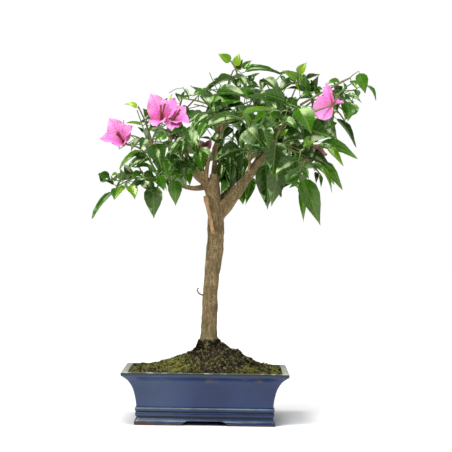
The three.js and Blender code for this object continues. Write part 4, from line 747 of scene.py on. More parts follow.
class Foliage:
    """One mass: its twigs and its leaves."""

    def __init__(self, name, plant, views, kept):
        self.name = name
        self.plan = MASSES[name]
        self.centre = np.array(self.plan["centre"], float)
        self.reach = np.array(self.plan["reach"], float)
        self.draw = Draws(self.plan["seed"])
        self.twigs, self.leaves = [], []
        self.own_twigs, self.own_blades = Stretches(), Blades(kept)
        self.views = views
        self.parted = True
        self.find_planes()
        self.obstacles = Stretches()
        self.obstacles.keep(plant)
        for other in MASSES:
            if other != name:
                for blade in hanging_blades(other):
                    self.obstacles.keep(blade.stretches())

    def find_planes(self):
        """The planes between this mass and the others."""
        directions, offsets = [], []
        for name, other in MASSES.items():
            if name == self.name:
                continue
            apart = np.array(other["centre"]) - self.centre
            direction = unit(apart)
            mine, theirs = reach_along(self.plan, direction), reach_along(other, direction)
            offset = self.centre @ direction + np.linalg.norm(apart) * mine / (mine + theirs)
            directions.append(direction)
            offsets.append(offset - SPACE_ROOM)
        self.directions, self.offsets = np.array(directions), np.array(offsets)

    def free(self, points):
        """Whether all of some points lie in the space and clear of limbs and flowers."""
        points = np.atleast_2d(points)
        if ((np.abs(points - self.centre) / self.reach)**SPACE_POWER).sum(1).max() > 1:
            return False
        if self.parted and (points @ self.directions.T > self.offsets).any():
            return False
        if (((points - FORK_WINDOW[0]) / FORK_WINDOW[1])**2).sum(1).min() < 1:
            return False
        return not self.obstacles.near(points, LIMB_ROOM).any()

    def keep_twig(self, points, radius, *kind):
        self.twigs.append(Twig(points, radius, *kind))
        self.own_twigs.keep([[a, b, radius[0]] for a, b in zip(points, points[1:])])

    def add_twig(self, foot, end, lift, steps, radius, *kind):
        """Keeps a twig if all of it past its foot is free, cut short until it ends in the space."""
        for _ in range(TWIG_CUTS):
            if self.free(end):
                break
            end = blend(end, foot, TWIG_CUT)
        length = np.linalg.norm(end - foot)
        pull = (foot + end) / 2 + np.array([0, 0, lift * length])
        if length < SHORTEST_TWIG or not self.free(arch(foot, pull, end, TWIG_SAMPLES)[2:]):
            return None
        self.keep_twig(arch(foot, pull, end, steps), radius, *kind)
        return self.twigs[-1].points

    def try_leaf(self, make_leaf):
        """Keeps a leaf if it fits, after trying a few turns about its twig."""
        for attempt in range(LEAF_ATTEMPTS):
            leaf = make_leaf(attempt)
            samples = SAMPLE_WEIGHTS @ leaf.corners
            if not self.free(samples):
                continue
            outer = samples[np.linalg.norm(samples - leaf.foot, axis=1) > TWIG_SHADOW]
            if self.own_twigs.near(outer, TWIG_ROOM).any() or self.own_blades.crossed(leaf):
                continue
            if in_sky(samples).any() or self.views.hidden(samples):
                continue
            self.own_blades.keep(leaf)
            self.leaves.append(leaf)
            return

    def leaf_on_twig(self, spray, foot, along, turn, length, young):
        """A leaf leaves its twig sideways, droops and looks out of the crown."""
        draw = self.draw
        bend = draw(*LEAF_BEND) * (1 - YOUNG_STRAIGHTNESS * young)
        lean = draw(*LEAF_LEAN) + young
        width = length * LEAF_SLENDERNESS * draw(*LEAF_VARIETY)
        facing = unit(foot - CROWN_CENTRE) + np.array([0, 0, FACING_UP]) + FACING_STRAY * draw.way()
        sag = np.array([0, 0, LEAF_DROOP * (young - 1)])

        def make_leaf(attempt):
            ahead = unit(around(along, turn + attempt * ATTEMPT_TURN) + along * lean + sag)
            return Blade(foot, ahead, squared(facing, ahead), length, width, bend, young, spray)

        self.try_leaf(make_leaf)

    def leaves_along(self, spray):
        """Leaves stand at even spaces along a twig, smaller towards its end."""
        twig = self.twigs[spray]
        turn = self.draw.turn()
        total, due = twig.ends[-1], twig.start
        while due < total:
            share = due / total
            length = twig.size * self.draw(*LEAF_VARIETY) * (1 - LEAF_SHRINK * share * share)
            self.leaf_on_twig(spray, *twig.at(due), turn, length, YOUNG if share > YOUNG_END else 0)
            turn += GOLDEN_ANGLE
            due += twig.spacing
        along = unit(twig.points[-1] - twig.points[-2])
        self.leaf_on_twig(spray, twig.points[-1] - along, along, turn, twig.size * END_LEAF_SIZE, 1)

    def grow(self):
        """The twigs and leaves of the solids."""
        leaf, shoots, leaders = self.plan["leaf"], self.plan["shoots"], self.plan["leaders"]
        before, root = (np.array(point, float) for point in BOUGHS[self.plan["bough"]]["path"][-2:])
        heart = blend(self.centre, root, STEM_END)
        pull = root + unit(root - before) * np.linalg.norm(heart - root) * STEM_PULL
        self.keep_twig(arch(root, pull, heart, 3), STEM_RADIUS, STEM_START, leaf)
        for k in range(shoots):
            height = 1 - 2 * (k + 0.5) / shoots
            turn = k * GOLDEN_ANGLE + self.plan["seed"]
            flat = math.sqrt(1 - height * height)
            spread = self.draw(*SHOOT_SPREAD)
            shape = np.array([flat * math.cos(turn), flat * math.sin(turn), 0.6 * height + 0.1])
            end = self.centre + self.reach * shape * spread
            if k < len(leaders):
                end = np.array(leaders[k], float)
            foot = arch_at(root, pull, heart, blend(*SHOOT_FEET, k / (shoots - 1)))
            points = self.add_twig(foot, end, SHOOT_LIFT, 2, SHOOT_RADIUS, SHOOT_START, leaf)
            if points is not None and k % 2:
                self.side_twig(foot, points[1], end)
        for spray in range(len(self.twigs)):
            self.leaves_along(spray)

    def side_twig(self, shoot_foot, foot, shoot_end):
        along = unit(shoot_end - shoot_foot)
        outward = around(along, self.draw.turn())
        reach = SIDE_TWIG_LENGTH * self.draw(*SIDE_TWIG_VARIETY)
        self.add_twig(foot, foot + unit(outward + along * SIDE_TWIG_LEAN) * reach, SIDE_TWIG_LIFT, 1,
                      SIDE_TWIG_RADIUS, SIDE_TWIG_START, self.plan["leaf"] * SIDE_LEAF_SIZE)

    def grow_finer(self, blades):
        """Finer twigs within the same reach, past the planes between the masses."""
        self.parted = False
        self.own_blades = blades
        self.draw = Draws(self.plan["seed"] + FINE_SEED)
        coarse = len(self.twigs)
        for twig in self.twigs[:coarse]:
            turn = self.draw.turn()
            for k in range(int((twig.ends[-1] - twig.start) / FINE_TWIG_SPACING)):
                foot, along = twig.at(twig.start + (k + 0.5) * FINE_TWIG_SPACING)
                way = unit(around(along, turn + k * GOLDEN_ANGLE) + along * FINE_TWIG_LEAN)
                self.add_twig(foot, foot + way * self.draw(*FINE_TWIG_LENGTH), SIDE_TWIG_LIFT, 3,
                              FINE_TWIG_RADIUS, FINE_TWIG_START, self.plan["leaf"], FINE_LEAF_SPACING)
        for spray in range(coarse, len(self.twigs)):
            self.leaves_along(spray)
        crossing = {i for i, twig in enumerate(self.twigs) if i >= coarse and in_sky(twig.points).any()}
        self.leaves = [leaf for leaf in self.leaves if leaf.spray not in crossing]
        bearing = {leaf.spray for leaf in self.leaves}
        self.twigs = [twig for i, twig in enumerate(self.twigs) if i < coarse or i in bearing]


def grow_crown():
    """All masses: first as in the solids, then with their finer twigs."""
    plant = plant_stretches()
    kept = [blade for name in MASSES for blade in hanging_blades(name) + blades_in_view(name)]
    bracts = [blade for flower in all_flowers() for blade in flower_blades(flower)]
    clear = [blade_to(from_view(foot_u, foot_v, depth), from_view(tip_u, tip_v, depth), width * PHOTO_SCALE)
             for foot_u, foot_v, tip_u, tip_v, depth, width in CLEAR_VIEWS]
    views, blades = Views(kept + bracts + clear), Blades(kept)
    crown = [Foliage(name, plant, views, kept) for name in MASSES]
    for mass in crown:
        mass.grow()
        for leaf in mass.leaves:
            blades.keep(leaf)
    for mass in crown:
        mass.grow_finer(blades)
    return crown


# Making: node trees, finishes and pieces.


def feed(tree, socket, value):
    """Gives a socket a link or a plain value."""
    value = getattr(value, "socket", value)
    if isinstance(value, bpy.types.NodeSocket):
        tree.links.new(value, socket)
    else:
        socket.default_value = value


def add_node(tree, kind, feeds=None, **settings):
    """Adds a node and feeds its sockets by their names."""
    node = tree.nodes.new(kind)
    for key, value in settings.items():
        setattr(node, key, value)
    for label, value in (feeds or {}).items():
        socket = next(s for s in node.inputs if s.enabled and label in (s.name, s.identifier))
        feed(tree, socket, value)
    return node


def out(node, label=None):
    """A node's first live output, or the one of that name."""
    return next(s for s in node.outputs if s.enabled and label in (None, s.name))


def add_object(name, data):
    thing = bpy.data.objects.new(name, data)
    bpy.context.scene.collection.objects.link(thing)
    return thing


SPRAY_ATTRIBUTES = ("turn", "size", "shape", "tint", "girth", "under")
TINT_INPUTS = [f"Tint {k}" for k in range(6)]


class Tree:
    """A Geometry Nodes tree with named inputs."""

    def __init__(self, name, **kinds):
        self.group = bpy.data.node_groups.new(name, "GeometryNodeTree")
        sockets = self.group.interface
        sockets.new_socket("Geometry", in_out="INPUT", socket_type="NodeSocketGeometry")
        sockets.new_socket("Geometry", in_out="OUTPUT", socket_type="NodeSocketGeometry")
        self.identifiers = {
            label: sockets.new_socket(label, in_out="INPUT", socket_type="NodeSocket" + kind).identifier
            for label, kind in kinds.items()
        }
        self.given = add_node(self.group, "NodeGroupInput")

    def made(self, kind, feeds=None, **settings):
        """What a new node gives."""
        return out(add_node(self.group, kind, feeds, **settings))

    def input(self, label="Geometry"):
        return out(self.given, label)

    def named(self, name, kind):
        return self.made("GeometryNodeInputNamedAttribute", {"Name": name}, data_type=kind)

    def is_tint(self, tint):
        return self.made("FunctionNodeCompare", {"A": self.named("tint", "INT"), "B": tint},
                         data_type="INT", operation="EQUAL")

    def painted(self, geometry, label, chosen=True):
        """Gives the chosen faces the material of one input."""
        return self.made("GeometryNodeSetMaterial", {
            "Geometry": geometry, "Selection": chosen, "Material": self.input(label),
        })

    def finish(self, geometry):
        add_node(self.group, "NodeGroupOutput", {"Geometry": geometry})

    def grown(self, name, source, **values):
        """The plain mesh that the tree makes of a source mesh, as an object of its own."""
        carrier = add_object(name + "_source", source)
        modifier = carrier.modifiers.new(self.group.name, "NODES")
        modifier.node_group = self.group
        for label, value in values.items():
            modifier[self.identifiers[label]] = value
        mesh = plain_mesh(carrier)
        for label in [a.name for a in mesh.attributes if a.name in SPRAY_ATTRIBUTES]:
            mesh.attributes.remove(mesh.attributes[label])
        return bpy.data.objects.new(name, mesh)


def plain_mesh(carrier):
    """The mesh that an object's modifiers make. The object and its modifiers go."""
    evaluated = carrier.evaluated_get(bpy.context.evaluated_depsgraph_get())
    mesh = bpy.data.meshes.new_from_object(evaluated)
    carrier.modifiers.clear()
    bpy.data.objects.remove(carrier)
    return mesh


def mesh_of(name, points, faces=(), edges=(), **attributes):
    """A mesh with attributes on its points, whose kinds follow from the shapes of their arrays."""
    mesh = bpy.data.meshes.new(name)
    mesh.from_pydata(np.asarray(points, float), edges, faces, shade_flat=False)
    for label, values in attributes.items():
        values = np.asarray(values)
        kind, key = {
            (1, "i"): ("INT", "value"), (1, "f"): ("FLOAT", "value"), (1, "b"): ("BOOLEAN", "value"),
            (2, "f"): ("FLOAT_VECTOR", "vector"),
        }[values.ndim, values.dtype.kind]
        if values.shape[1:] == (4,):
            kind, key = "QUATERNION", "value"
        domain = "FACE" if kind == "BOOLEAN" else "POINT"
        mesh.attributes.new(label, kind, domain).data.foreach_set(key, values.ravel())
    mesh.validate()
    return mesh


def finished(mesh, finish, **attributes):
    """Gives a mesh one finish, smooth faces and numbers on its points."""
    for label, values in attributes.items():
        mesh.attributes.new(label, "FLOAT", "POINT").data.foreach_set("value", values)
    mesh.materials.clear()
    mesh.materials.append(finish)
    mesh.polygons.foreach_set("use_smooth", np.ones(len(mesh.polygons), bool))
    mesh.update()
    return mesh


def place(piece, slot, *replaced):
    """Puts a finished piece in the scene, on the plant's one body."""
    bpy.context.scene.collection.objects.link(piece)
    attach(piece, "root")
    if replaced:
        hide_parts(*replaced)


def sweep_tree():
    """Sweeps a round twig along each line of points, as thick as its attribute girth says."""
    tree = Tree("sweep", Sides="Int", Young="Material", Old="Material")
    curves = tree.made("GeometryNodeMeshToCurve", {"Mesh": tree.input()})
    ring = tree.made("GeometryNodeCurvePrimitiveCircle", {"Resolution": tree.input("Sides"), "Radius": 1.0})
    twigs = tree.made("GeometryNodeCurveToMesh", {
        "Curve": curves, "Profile Curve": ring, "Scale": tree.named("girth", "FLOAT"), "Fill Caps": True,
    })
    whole = tree.made("GeometryNodeRealizeInstances", {"Geometry": twigs})
    tree.finish(tree.painted(tree.painted(whole, "Young"), "Old", tree.is_tint(1)))
    return tree


def spray_tree():
    """Puts one of a set of shapes on each point, turned, sized and tinted by the point's attributes."""
    tree = Tree("spray", Shapes="Collection", Under="Material", **dict.fromkeys(TINT_INPUTS, "Material"))
    shapes = tree.made("GeometryNodeCollectionInfo", {
        "Collection": tree.input("Shapes"), "Separate Children": True, "Reset Children": True,
    })
    put = tree.made("GeometryNodeInstanceOnPoints", {
        "Points": tree.input(), "Instance": shapes, "Pick Instance": True,
        "Instance Index": tree.named("shape", "INT"), "Rotation": tree.named("turn", "QUATERNION"),
        "Scale": tree.named("size", "FLOAT_VECTOR"),
    })
    grown = tree.made("GeometryNodeRealizeInstances", {"Geometry": put})
    for k, label in enumerate(TINT_INPUTS):
        grown = tree.painted(grown, label, tree.is_tint(k))
    tree.finish(tree.painted(grown, "Under", tree.named("under", "BOOLEAN")))
    return tree


def swept(name, lines, tree, young, old, sides=6):
    """Twigs along lines, each given as its points with radii and whether it is old."""
    rows, tints, edges = [], [], []
    for line, is_old in lines:
        edges += [[len(rows) + i, len(rows) + i + 1] for i in range(len(line) - 1)]
        rows += list(line)
        tints += [int(is_old)] * len(line)
    rows = np.array(rows)
    source = mesh_of(name + "_lines", metres(rows[:, :3]), edges=edges, girth=rows[:, 3] * MM, tint=tints)
    return tree.grown(name, source, Sides=sides, Young=young, Old=old)


@dataclass
class Sprig:
    """One small shape of a spray: where it stands, how it is turned and which shape and tint it has."""
    foot: np.ndarray
    ahead: np.ndarray
    side: np.ndarray
    size: tuple
    shape: int
    tint: int


def sprayed(name, sprigs, tree, shapes, tints, under):
    turns = [Matrix(np.column_stack([sprig.ahead, sprig.side, np.cross(sprig.ahead, sprig.side)]))
             for sprig in sprigs]
    source = mesh_of(
        name + "_points", metres([sprig.foot for sprig in sprigs]),
        turn=np.array([turn.to_quaternion() for turn in turns], float),
        size=np.array([sprig.size for sprig in sprigs], float) * MM,
        shape=[sprig.shape for sprig in sprigs], tint=[sprig.tint for sprig in sprigs],
    )
    materials = {label: tints[min(k, len(tints) - 1)] for k, label in enumerate(TINT_INPUTS)}
    return tree.grown(name, source, Shapes=shapes, Under=under, **materials)


def shape_set(name, meshes):
    shapes = bpy.data.collections.new(name)
    for k, mesh in enumerate(meshes):
        shapes.objects.link(bpy.data.objects.new(f"{name}_{k:02d}", mesh))
    return shapes


def rings_to_faces(rings, sides, close_last=True):
    """Faces between rings of points that are numbered one ring after the other, closed at their ends."""
    faces = [list(range(sides))[::-1]]
    for low in range(0, (rings - 1) * sides, sides):
        for k in range(sides):
            after = (k + 1) % sides
            faces.append([low + k, low + after, low + sides + after, low + sides + k])
    if close_last:
        faces.append(list(range((rings - 1) * sides, rings * sides)))
    return faces


# Finishes.


def tone(red, green, blue):
    """A colour given as it looks on a screen, from 0 to 255."""
    parts = [part / 255 for part in (red, green, blue)]
    return [part / 12.92 if part <= 0.04045 else ((part + 0.055) / 1.055)**2.4 for part in parts] + [1]


class Value:
    """A number that a finish works out over the surface, with the signs of arithmetic."""

    def __init__(self, finish, socket):
        self.finish, self.socket = finish, socket

    def worked(self, operation, other=0.0):
        node = add_node(self.finish.tree, "ShaderNodeMath", operation=operation)
        for socket, value in zip(node.inputs, (self, other)):
            feed(self.finish.tree, socket, value)
        return Value(self.finish, out(node))

    def __add__(self, other):
        return self.worked("ADD", other)

    def __sub__(self, other):
        return self.worked("SUBTRACT", other)

    def __mul__(self, other):
        return self.worked("MULTIPLY", other)

    def __abs__(self):
        return self.worked("ABSOLUTE")

    def wave(self):
        return self.worked("SINE")

    def or_more(self, other):
        return self.worked("MAXIMUM", other)

    def share(self, low, high, first=0.0, last=1.0):
        """How far it is between two limits, as a share between two other numbers."""
        return self.finish.value("ShaderNodeMapRange", {
            "Value": self, "From Min": low, "From Max": high, "To Min": first, "To Max": last,
        }, interpolation_type="SMOOTHSTEP")


class Finish:
    """A material under a maker's hands: patterns, colours and relief for one principled surface."""

    def __init__(self, name, roughness, **sockets):
        self.material = bpy.data.materials.new(name)
        self.material.use_nodes = True
        self.tree = self.material.node_tree
        self.surface = self.tree.nodes["Principled BSDF"]
        for label, value in {"Roughness": roughness, **sockets}.items():
            self.surface.inputs[label.replace("_", " ")].default_value = value
        self.where = out(add_node(self.tree, "ShaderNodeTexCoord"), "Object")

    def value(self, kind, feeds=None, label=None, **settings):
        return Value(self, out(add_node(self.tree, kind, feeds, **settings), label))

    def noise(self, size, detail=3, roughness=0.55, stretch=(1, 1, 1), distortion=0):
        """A cloudy pattern whose patches are about so many metres across."""
        place = self.value("ShaderNodeMapping", {"Vector": self.where, "Scale": [1 / s for s in stretch]})
        return self.value("ShaderNodeTexNoise", {
            "Vector": place, "Scale": 1 / size, "Detail": detail, "Roughness": roughness,
            "Distortion": distortion,
        })

    def attribute(self, name):
        return self.value("ShaderNodeAttribute", label="Fac", attribute_name=name)

    def parts(self, vector):
        """The three numbers of a vector."""
        node = add_node(self.tree, "ShaderNodeSeparateXYZ", {"Vector": vector})
        return [Value(self, socket) for socket in node.outputs]

    def blade(self):
        """How far along a leaf or bract a point lies, and how far from its midrib."""
        place = self.value("ShaderNodeAttribute", label="Vector", attribute_name="blade")
        along, across, _ = self.parts(place)
        return along, abs(across)

    def mixed(self, share, first, last):
        """A colour between two others, each one given as a tone or mixed before."""
        first, last = (tone(*colour) if isinstance(colour, tuple) else colour for colour in (first, last))
        feeds = {"Factor": share, "A": first, "B": last}
        return out(add_node(self.tree, "ShaderNodeMix", feeds, data_type="RGBA"))

    def colour(self, colour):
        feed(self.tree, self.surface.inputs["Base Color"], colour)

    def gloss(self, roughness):
        feed(self.tree, self.surface.inputs["Roughness"], roughness)

    def relief(self, height, depth, strength=1.0):
        bump = self.value("ShaderNodeBump", {"Height": height, "Distance": depth, "Strength": strength})
        feed(self.tree, self.surface.inputs["Normal"], bump)
        return self.material


LEAF_SHEEN = (0.82, 1, 0.42, 1)
LEAF_VEIN = (150, 180, 80)
BRACT_FOOT = (222, 128, 132)


def leaf_finish(name, colour, dark):
    """A glossy leaf: a pale midrib, faint side veins and a tone that drifts from leaf to leaf."""
    finish = Finish(name, 0.3, IOR=1.6, Specular_Tint=LEAF_SHEEN, Coat_Weight=0.3, Coat_Roughness=0.24)
    along, width = finish.blade()
    rib = width.share(0.02, 0.1, 1, 0)
    veins = ((along - width * 0.2) * 44).wave().share(0.7, 1, 0, 0.45)
    base = finish.mixed(finish.noise(0.05, 2).share(0.35, 0.65), dark, colour)
    finish.colour(finish.mixed(rib.or_more(veins) * 0.2, base, LEAF_VEIN))
    finish.gloss(finish.noise(0.02, 2).share(0.3, 0.7, 0.19, 0.3))
    return finish.relief(rib * -0.12 + finish.noise(0.02, 1), 0.002, 0.5)


def under_finish():
    """A leaf's underside: matt and paler, with a midrib that stands out."""
    finish = Finish("leaf_underside", 0.6)
    rib = finish.blade()[1].share(0.02, 0.12, 1, 0)
    base = finish.mixed(finish.noise(0.01, 3), (88, 132, 66), (116, 156, 88))
    finish.colour(finish.mixed(rib * 0.6, base, (160, 186, 120)))
    return finish.relief(rib + finish.noise(0.003, 2), 0.0004, 0.5)


def bract_finish(name, colour, edge, vein):
    """A papery bract: a net of deeper veins that run up from its foot, over a tone that fades outwards."""
    finish = Finish(name, 0.55, Sheen_Weight=0.25, Sheen_Roughness=0.4)
    along, width = finish.blade()
    rib = width.share(0.01, 0.09, 1, 0)
    bent = along - width * 0.45 + finish.noise(0.006, 2) * 0.09
    veins = (bent * 46).wave().share(0.7, 1, 0, 0.75)
    net = finish.value("ShaderNodeTexVoronoi", {"Vector": finish.where, "Scale": 420.0},
                       feature="DISTANCE_TO_EDGE")
    lines = rib.or_more(veins).or_more(net.share(0, 0.12, 0.45, 0))
    base = finish.mixed((along + width * 0.3).share(0.2, 1.1), colour, edge)
    base = finish.mixed(along.share(0.34, 0.04, 0, 0.6), base, BRACT_FOOT)
    finish.colour(finish.mixed(lines * 0.5, base, vein))
    return finish.relief(lines * -1 + finish.noise(0.005, 3), 0.0006, 0.8)


def twig_finish(name, colour, streak):
    """Smooth young bark with streaks along it."""
    finish = Finish(name, 0.62)
    streaks = finish.noise(0.004, 4, stretch=(1, 1, 2.5))
    finish.colour(finish.mixed(streaks.share(0.4, 0.62), colour, streak))
    return finish.relief(streaks, 0.0006, 0.7)


def bark_finish():
    """Old bark: pale ridges, darker fissures whose dark colour also paints their shade, damp green at its
    foot, and browner on younger boughs.
    """
    finish = Finish("bark", 0.82)
    clouds = finish.noise(0.014, 4).share(0.32, 0.68)
    grain = finish.noise(0.0022, 5, 0.65, stretch=(1, 1, 3.2))
    old = finish.mixed(clouds, (130, 110, 70), (168, 146, 100))
    young = finish.mixed(clouds, (122, 96, 58), (150, 124, 80))
    base = finish.mixed(finish.attribute("age").share(0.25, 0.75), young, old)
    grained = finish.mixed(grain.share(0.4, 0.56, 0.75, 0), base, (92, 74, 48))
    # The fissures' darker colour, which also paints the shade in them.
    cracked_and_shaded = finish.mixed(finish.attribute("fissure") * 0.75, grained, (62, 46, 28))
    level = finish.parts(finish.where)[2]
    damp = level.share(0.14, 0.108) * finish.noise(0.006, 4).share(0.38, 0.6)
    finish.colour(finish.mixed(damp * 0.7, cracked_and_shaded, (88, 96, 52)))
    return finish.relief(grain, 0.0014, 1)


def sawn_finish():
    """Sawn wood with its grain."""
    finish = Finish("sawn_wood", 0.7)
    grain = finish.noise(0.0014, 5, 0.6, stretch=(1, 1, 6))
    base = finish.mixed(finish.noise(0.008, 3).share(0.35, 0.65), (196, 160, 112), (214, 184, 140))
    finish.colour(finish.mixed(grain.share(0.45, 0.6), base, (150, 114, 74)))
    return finish.relief(grain, 0.0008, 0.8)


def plain_finish(name, roughness, first, last, size=0.004, depth=0.0006, **sockets):
    """Two tones in small clouds, with a little relief."""
    finish = Finish(name, roughness, **sockets)
    clouds = finish.noise(size, 4)
    finish.colour(finish.mixed(clouds.share(0.36, 0.64), first, last))
    return finish.relief(clouds, depth, 0.8)


def glaze_finish():
    """Blue stoneware glaze that thins to grey-green on edges and pools dark in the hollows; the pale edges
    also paint highlights, the dark hollows also paint shade, and the wall's right side is darker as painted
    shade.
    """
    finish = Finish("blue_glaze", 0.3, IOR=1.42, Coat_Weight=0.1, Coat_Roughness=0.16)
    across, _, level = finish.parts(finish.where)
    aside = across - float(POT_MIDDLE[0])
    drift = finish.noise(0.03, 3) - 0.5
    wander = drift * 0.006

    # The wall's blue, darker and bluer to the right as painted shade, worn thin and pale on edges where it
    # also paints highlights, and pooled dark in hollows where it also paints shade.
    clouds = finish.noise(0.045, 4, 0.5, distortion=0.4).share(0.36, 0.64)
    left = finish.mixed(clouds, (39, 56, 89), (51, 69, 101))
    # Painted shade: the right side's tones are darker, for the side turned away from the light.
    right = finish.mixed(clouds, (14, 34, 74), (22, 44, 87))
    thin = finish.attribute("thin")
    worn_and_lit = thin + drift * 0.5
    glazed = finish.mixed(aside.share(-0.08, 0), left, right)
    # Pale thin glaze on edges, which also paints the highlights on the beads and the foot.
    glazed = finish.mixed(worn_and_lit.share(0.55, 0.95), glazed, (128, 148, 146))
    # Near-black pooled glaze in the grooves, which also paints the shade in them.
    glazed = finish.mixed(thin.share(0.24, 0.04, 0, 0.9), glazed, (24, 30, 34))

    # Brown blots under the lip, its dark edge, and its pale flat top with grey stains.
    lip = level.share(0.054, 0.06) * level.share(0.067, 0.064)
    glazed = finish.mixed(lip * finish.noise(0.018, 4).share(0.5, 0.72, 0, 0.6), glazed, (88, 82, 72))
    stains = abs(aside).share(0.104, 0.098) * finish.noise(0.012, 3).share(0.3, 0.5)
    pale = finish.mixed(finish.noise(0.006, 3).share(0.5, 0.62), (196, 198, 188), (152, 149, 132))
    glazed = finish.mixed((level + wander * 0.2).share(0.0655, 0.0664, 0, 0.8), glazed, (38, 48, 42))
    rim = finish.mixed(stains, pale, (84, 86, 76))
    glazed = finish.mixed(level.share(0.0692, 0.0698), glazed, rim)

    # Bare clay along the feet.
    bare = (level + wander - aside.share(-0.05, -0.092, 0, 0.003)).share(0.0022, 0.0032, 1, 0)
    clay = finish.mixed(finish.noise(0.006, 3), (54, 36, 30), (82, 60, 50))
    finish.colour(finish.mixed(bare, glazed, clay))
    finish.gloss(bare.share(0, 1, 0.28, 0.85))
    return finish.relief(finish.noise(0.03, 2) + finish.noise(0.005, 2) * 0.1, 0.0012, 0.5)


# Shapes of leaves, bracts and small flowers, one unit long and wide.
LEAF_ROWS = [0.07, 0.2, 0.38, 0.58, 0.77, 0.91]
LEAF_COLUMNS = [-1, -0.5, 0, 0.5, 1]
LEAF_BENDS = [0.25, 0.5, 0.75, 1.0]
BRACT_ROWS = [0.03, 0.09, 0.17, 0.26, 0.36, 0.46, 0.56, 0.66, 0.75, 0.83, 0.9, 0.96]
BRACT_COLUMNS = [-1, -0.8, -0.55, -0.27, 0, 0.27, 0.55, 0.8, 1]
BLADE_TURN = 1.06
BLADE_EDGE = math.radians(70)
SKIN_THICKNESS = 0.024
SIDE_SHIFT = 1.7
PETIOLE_SHARE = 0.1
PETIOLE_ENDS = [[-0.01, 0.0132], [PETIOLE_SHARE * 1.25, 0.0088]]
PETIOLE_DROP = 0.004
TUBE_PROFILE = [[0, 0.03], [0.1, 0.056], [0.22, 0.062], [0.4, 0.04], [0.65, 0.038], [0.85, 0.046],
                [0.94, 0.06], [1, 0.042]]
TUBE_SIDES = 10
TUBE_CORNER = 0.12


def leaf_outline(share):
    return 0.5 * share**0.6 * (1 - share)**1.5 / 0.2814


def bract_outline(share):
    return 0.5 * share**0.6 * (1 - share) / 0.347


def blade_shape(name, outline, rows, columns, under_columns, bend, wave, beat, ripple, cup, twist, spread=1):
    """A bent blade: an upper skin and an under skin that share their rim. A spread under 1 leaves room
    for a stalk."""
    turn = BLADE_TURN * bend

    def lifted(along, side, lift):
        angle = turn * (1 - spread + along * spread)
        x, z = math.sin(angle) / turn, (math.cos(angle) - 1) / turn
        return [x + math.sin(angle) * lift, side, z + math.cos(angle) * lift]

    def skin(along, column, drop):
        side = column * outline(along)
        swing = math.sin(along * beat + wave + (SIDE_SHIFT if column > 0 else 0))
        edge = ripple * swing * column**2 * min(1, 3 * along)
        return lifted(along, side, cup * abs(2 * side) + edge + twist * side * (along - 0.3) - drop)

    points, places = [lifted(0, 0, 0), lifted(1, 0, 0)], [[0, 0, 0], [1, 0, 0]]
    upper, under = [], []
    for along in rows:
        start = len(points)
        for row, drop in ((columns, 0), (under_columns, SKIN_THICKNESS)):
            points += [skin(along, column, drop) for column in row]
            places += [[along, 2 * column * outline(along), 0] for column in row]
        upper.append(list(range(start, start + len(columns))))
        under.append([start, *range(start + len(columns), len(points)), upper[-1][-1]])
    faces, is_under = [], []
    for skin_rows, low in ((upper, False), (under, True)):
        found = [[0, a, b] for a, b in zip(skin_rows[0], skin_rows[0][1:])]
        for row, after in zip(skin_rows, skin_rows[1:]):
            found += [[row[k], after[k], after[k + 1], row[k + 1]] for k in range(len(row) - 1)]
        found += [[a, 1, b] for a, b in zip(skin_rows[-1], skin_rows[-1][1:])]
        faces += [face[::-1] if low else face for face in found]
        is_under += [low] * len(found)
    if spread < 1:
        start = len(points)
        for x, radius in PETIOLE_ENDS:
            for angle in math.pi / 2 + np.arange(3) * FULL_TURN / 3:
                side, level = radius * math.cos(angle) / LEAF_SLENDERNESS, radius * math.sin(angle)
                points.append([x, side, level - PETIOLE_DROP])
        stalk = rings_to_faces(2, 3)
        faces += [[start + corner for corner in face] for face in stalk]
        places += [[0, 0, 0]] * 6
        is_under += [False] * len(stalk)
    mesh = mesh_of(name, points, faces, blade=np.array(places, float), under=is_under)
    mesh.set_sharp_from_angle(angle=BLADE_EDGE)
    return mesh


def leaf_shapes():
    """Leaves of four bends, each with two waves of the edge."""
    return shape_set("leaf", [
        blade_shape(f"leaf_{bend}_{wave}", leaf_outline, LEAF_ROWS, LEAF_COLUMNS, [0], bend, wave,
                    beat=9, ripple=0.022, cup=0.1, twist=twist, spread=1 - PETIOLE_SHARE)
        for bend in LEAF_BENDS for wave, twist in ((0.4, -0.3), (2.9, 0.3))
    ])


def bract_shapes():
    return shape_set("bract", [
        blade_shape(f"bract_{wave}", bract_outline, BRACT_ROWS, BRACT_COLUMNS, BRACT_COLUMNS[1:-1],
                    0.45, wave, beat=17, ripple=0.055, cup=0.14, twist=0.1)
        for wave in (0.3, 1.9, 3.4)
    ])


def tube_shape():
    """A small tube flower: swollen low down, slim, and five-cornered where it opens."""
    points = []
    for along, radius in TUBE_PROFILE:
        for k in range(TUBE_SIDES):
            angle = FULL_TURN * k / TUBE_SIDES
            corner = radius * (1 + TUBE_CORNER * (k % 2))
            points.append([along, corner * math.cos(angle), corner * math.sin(angle)])
    faces = rings_to_faces(len(TUBE_PROFILE), TUBE_SIDES)
    return mesh_of("tube", points, faces, under=[False] * len(faces))


# Foliage pieces.
SPRAY_TINTS = [0, 0, 1, 1, 1, 2, 2]
YOUNG_TINTS = [3, 3, 4]
YOUNG_SHARE = 0.4
STRAY_SHARE = 0.18
TWIG_STEPS = 4
OLD_TWIG_RADIUS = 1
LEAF_STALK_RADIUS = [0.8, 0.55]
LEAF_STALK_LIFT = 1.5
SPRAY_SEED = 7
LEAF_SEED = 40


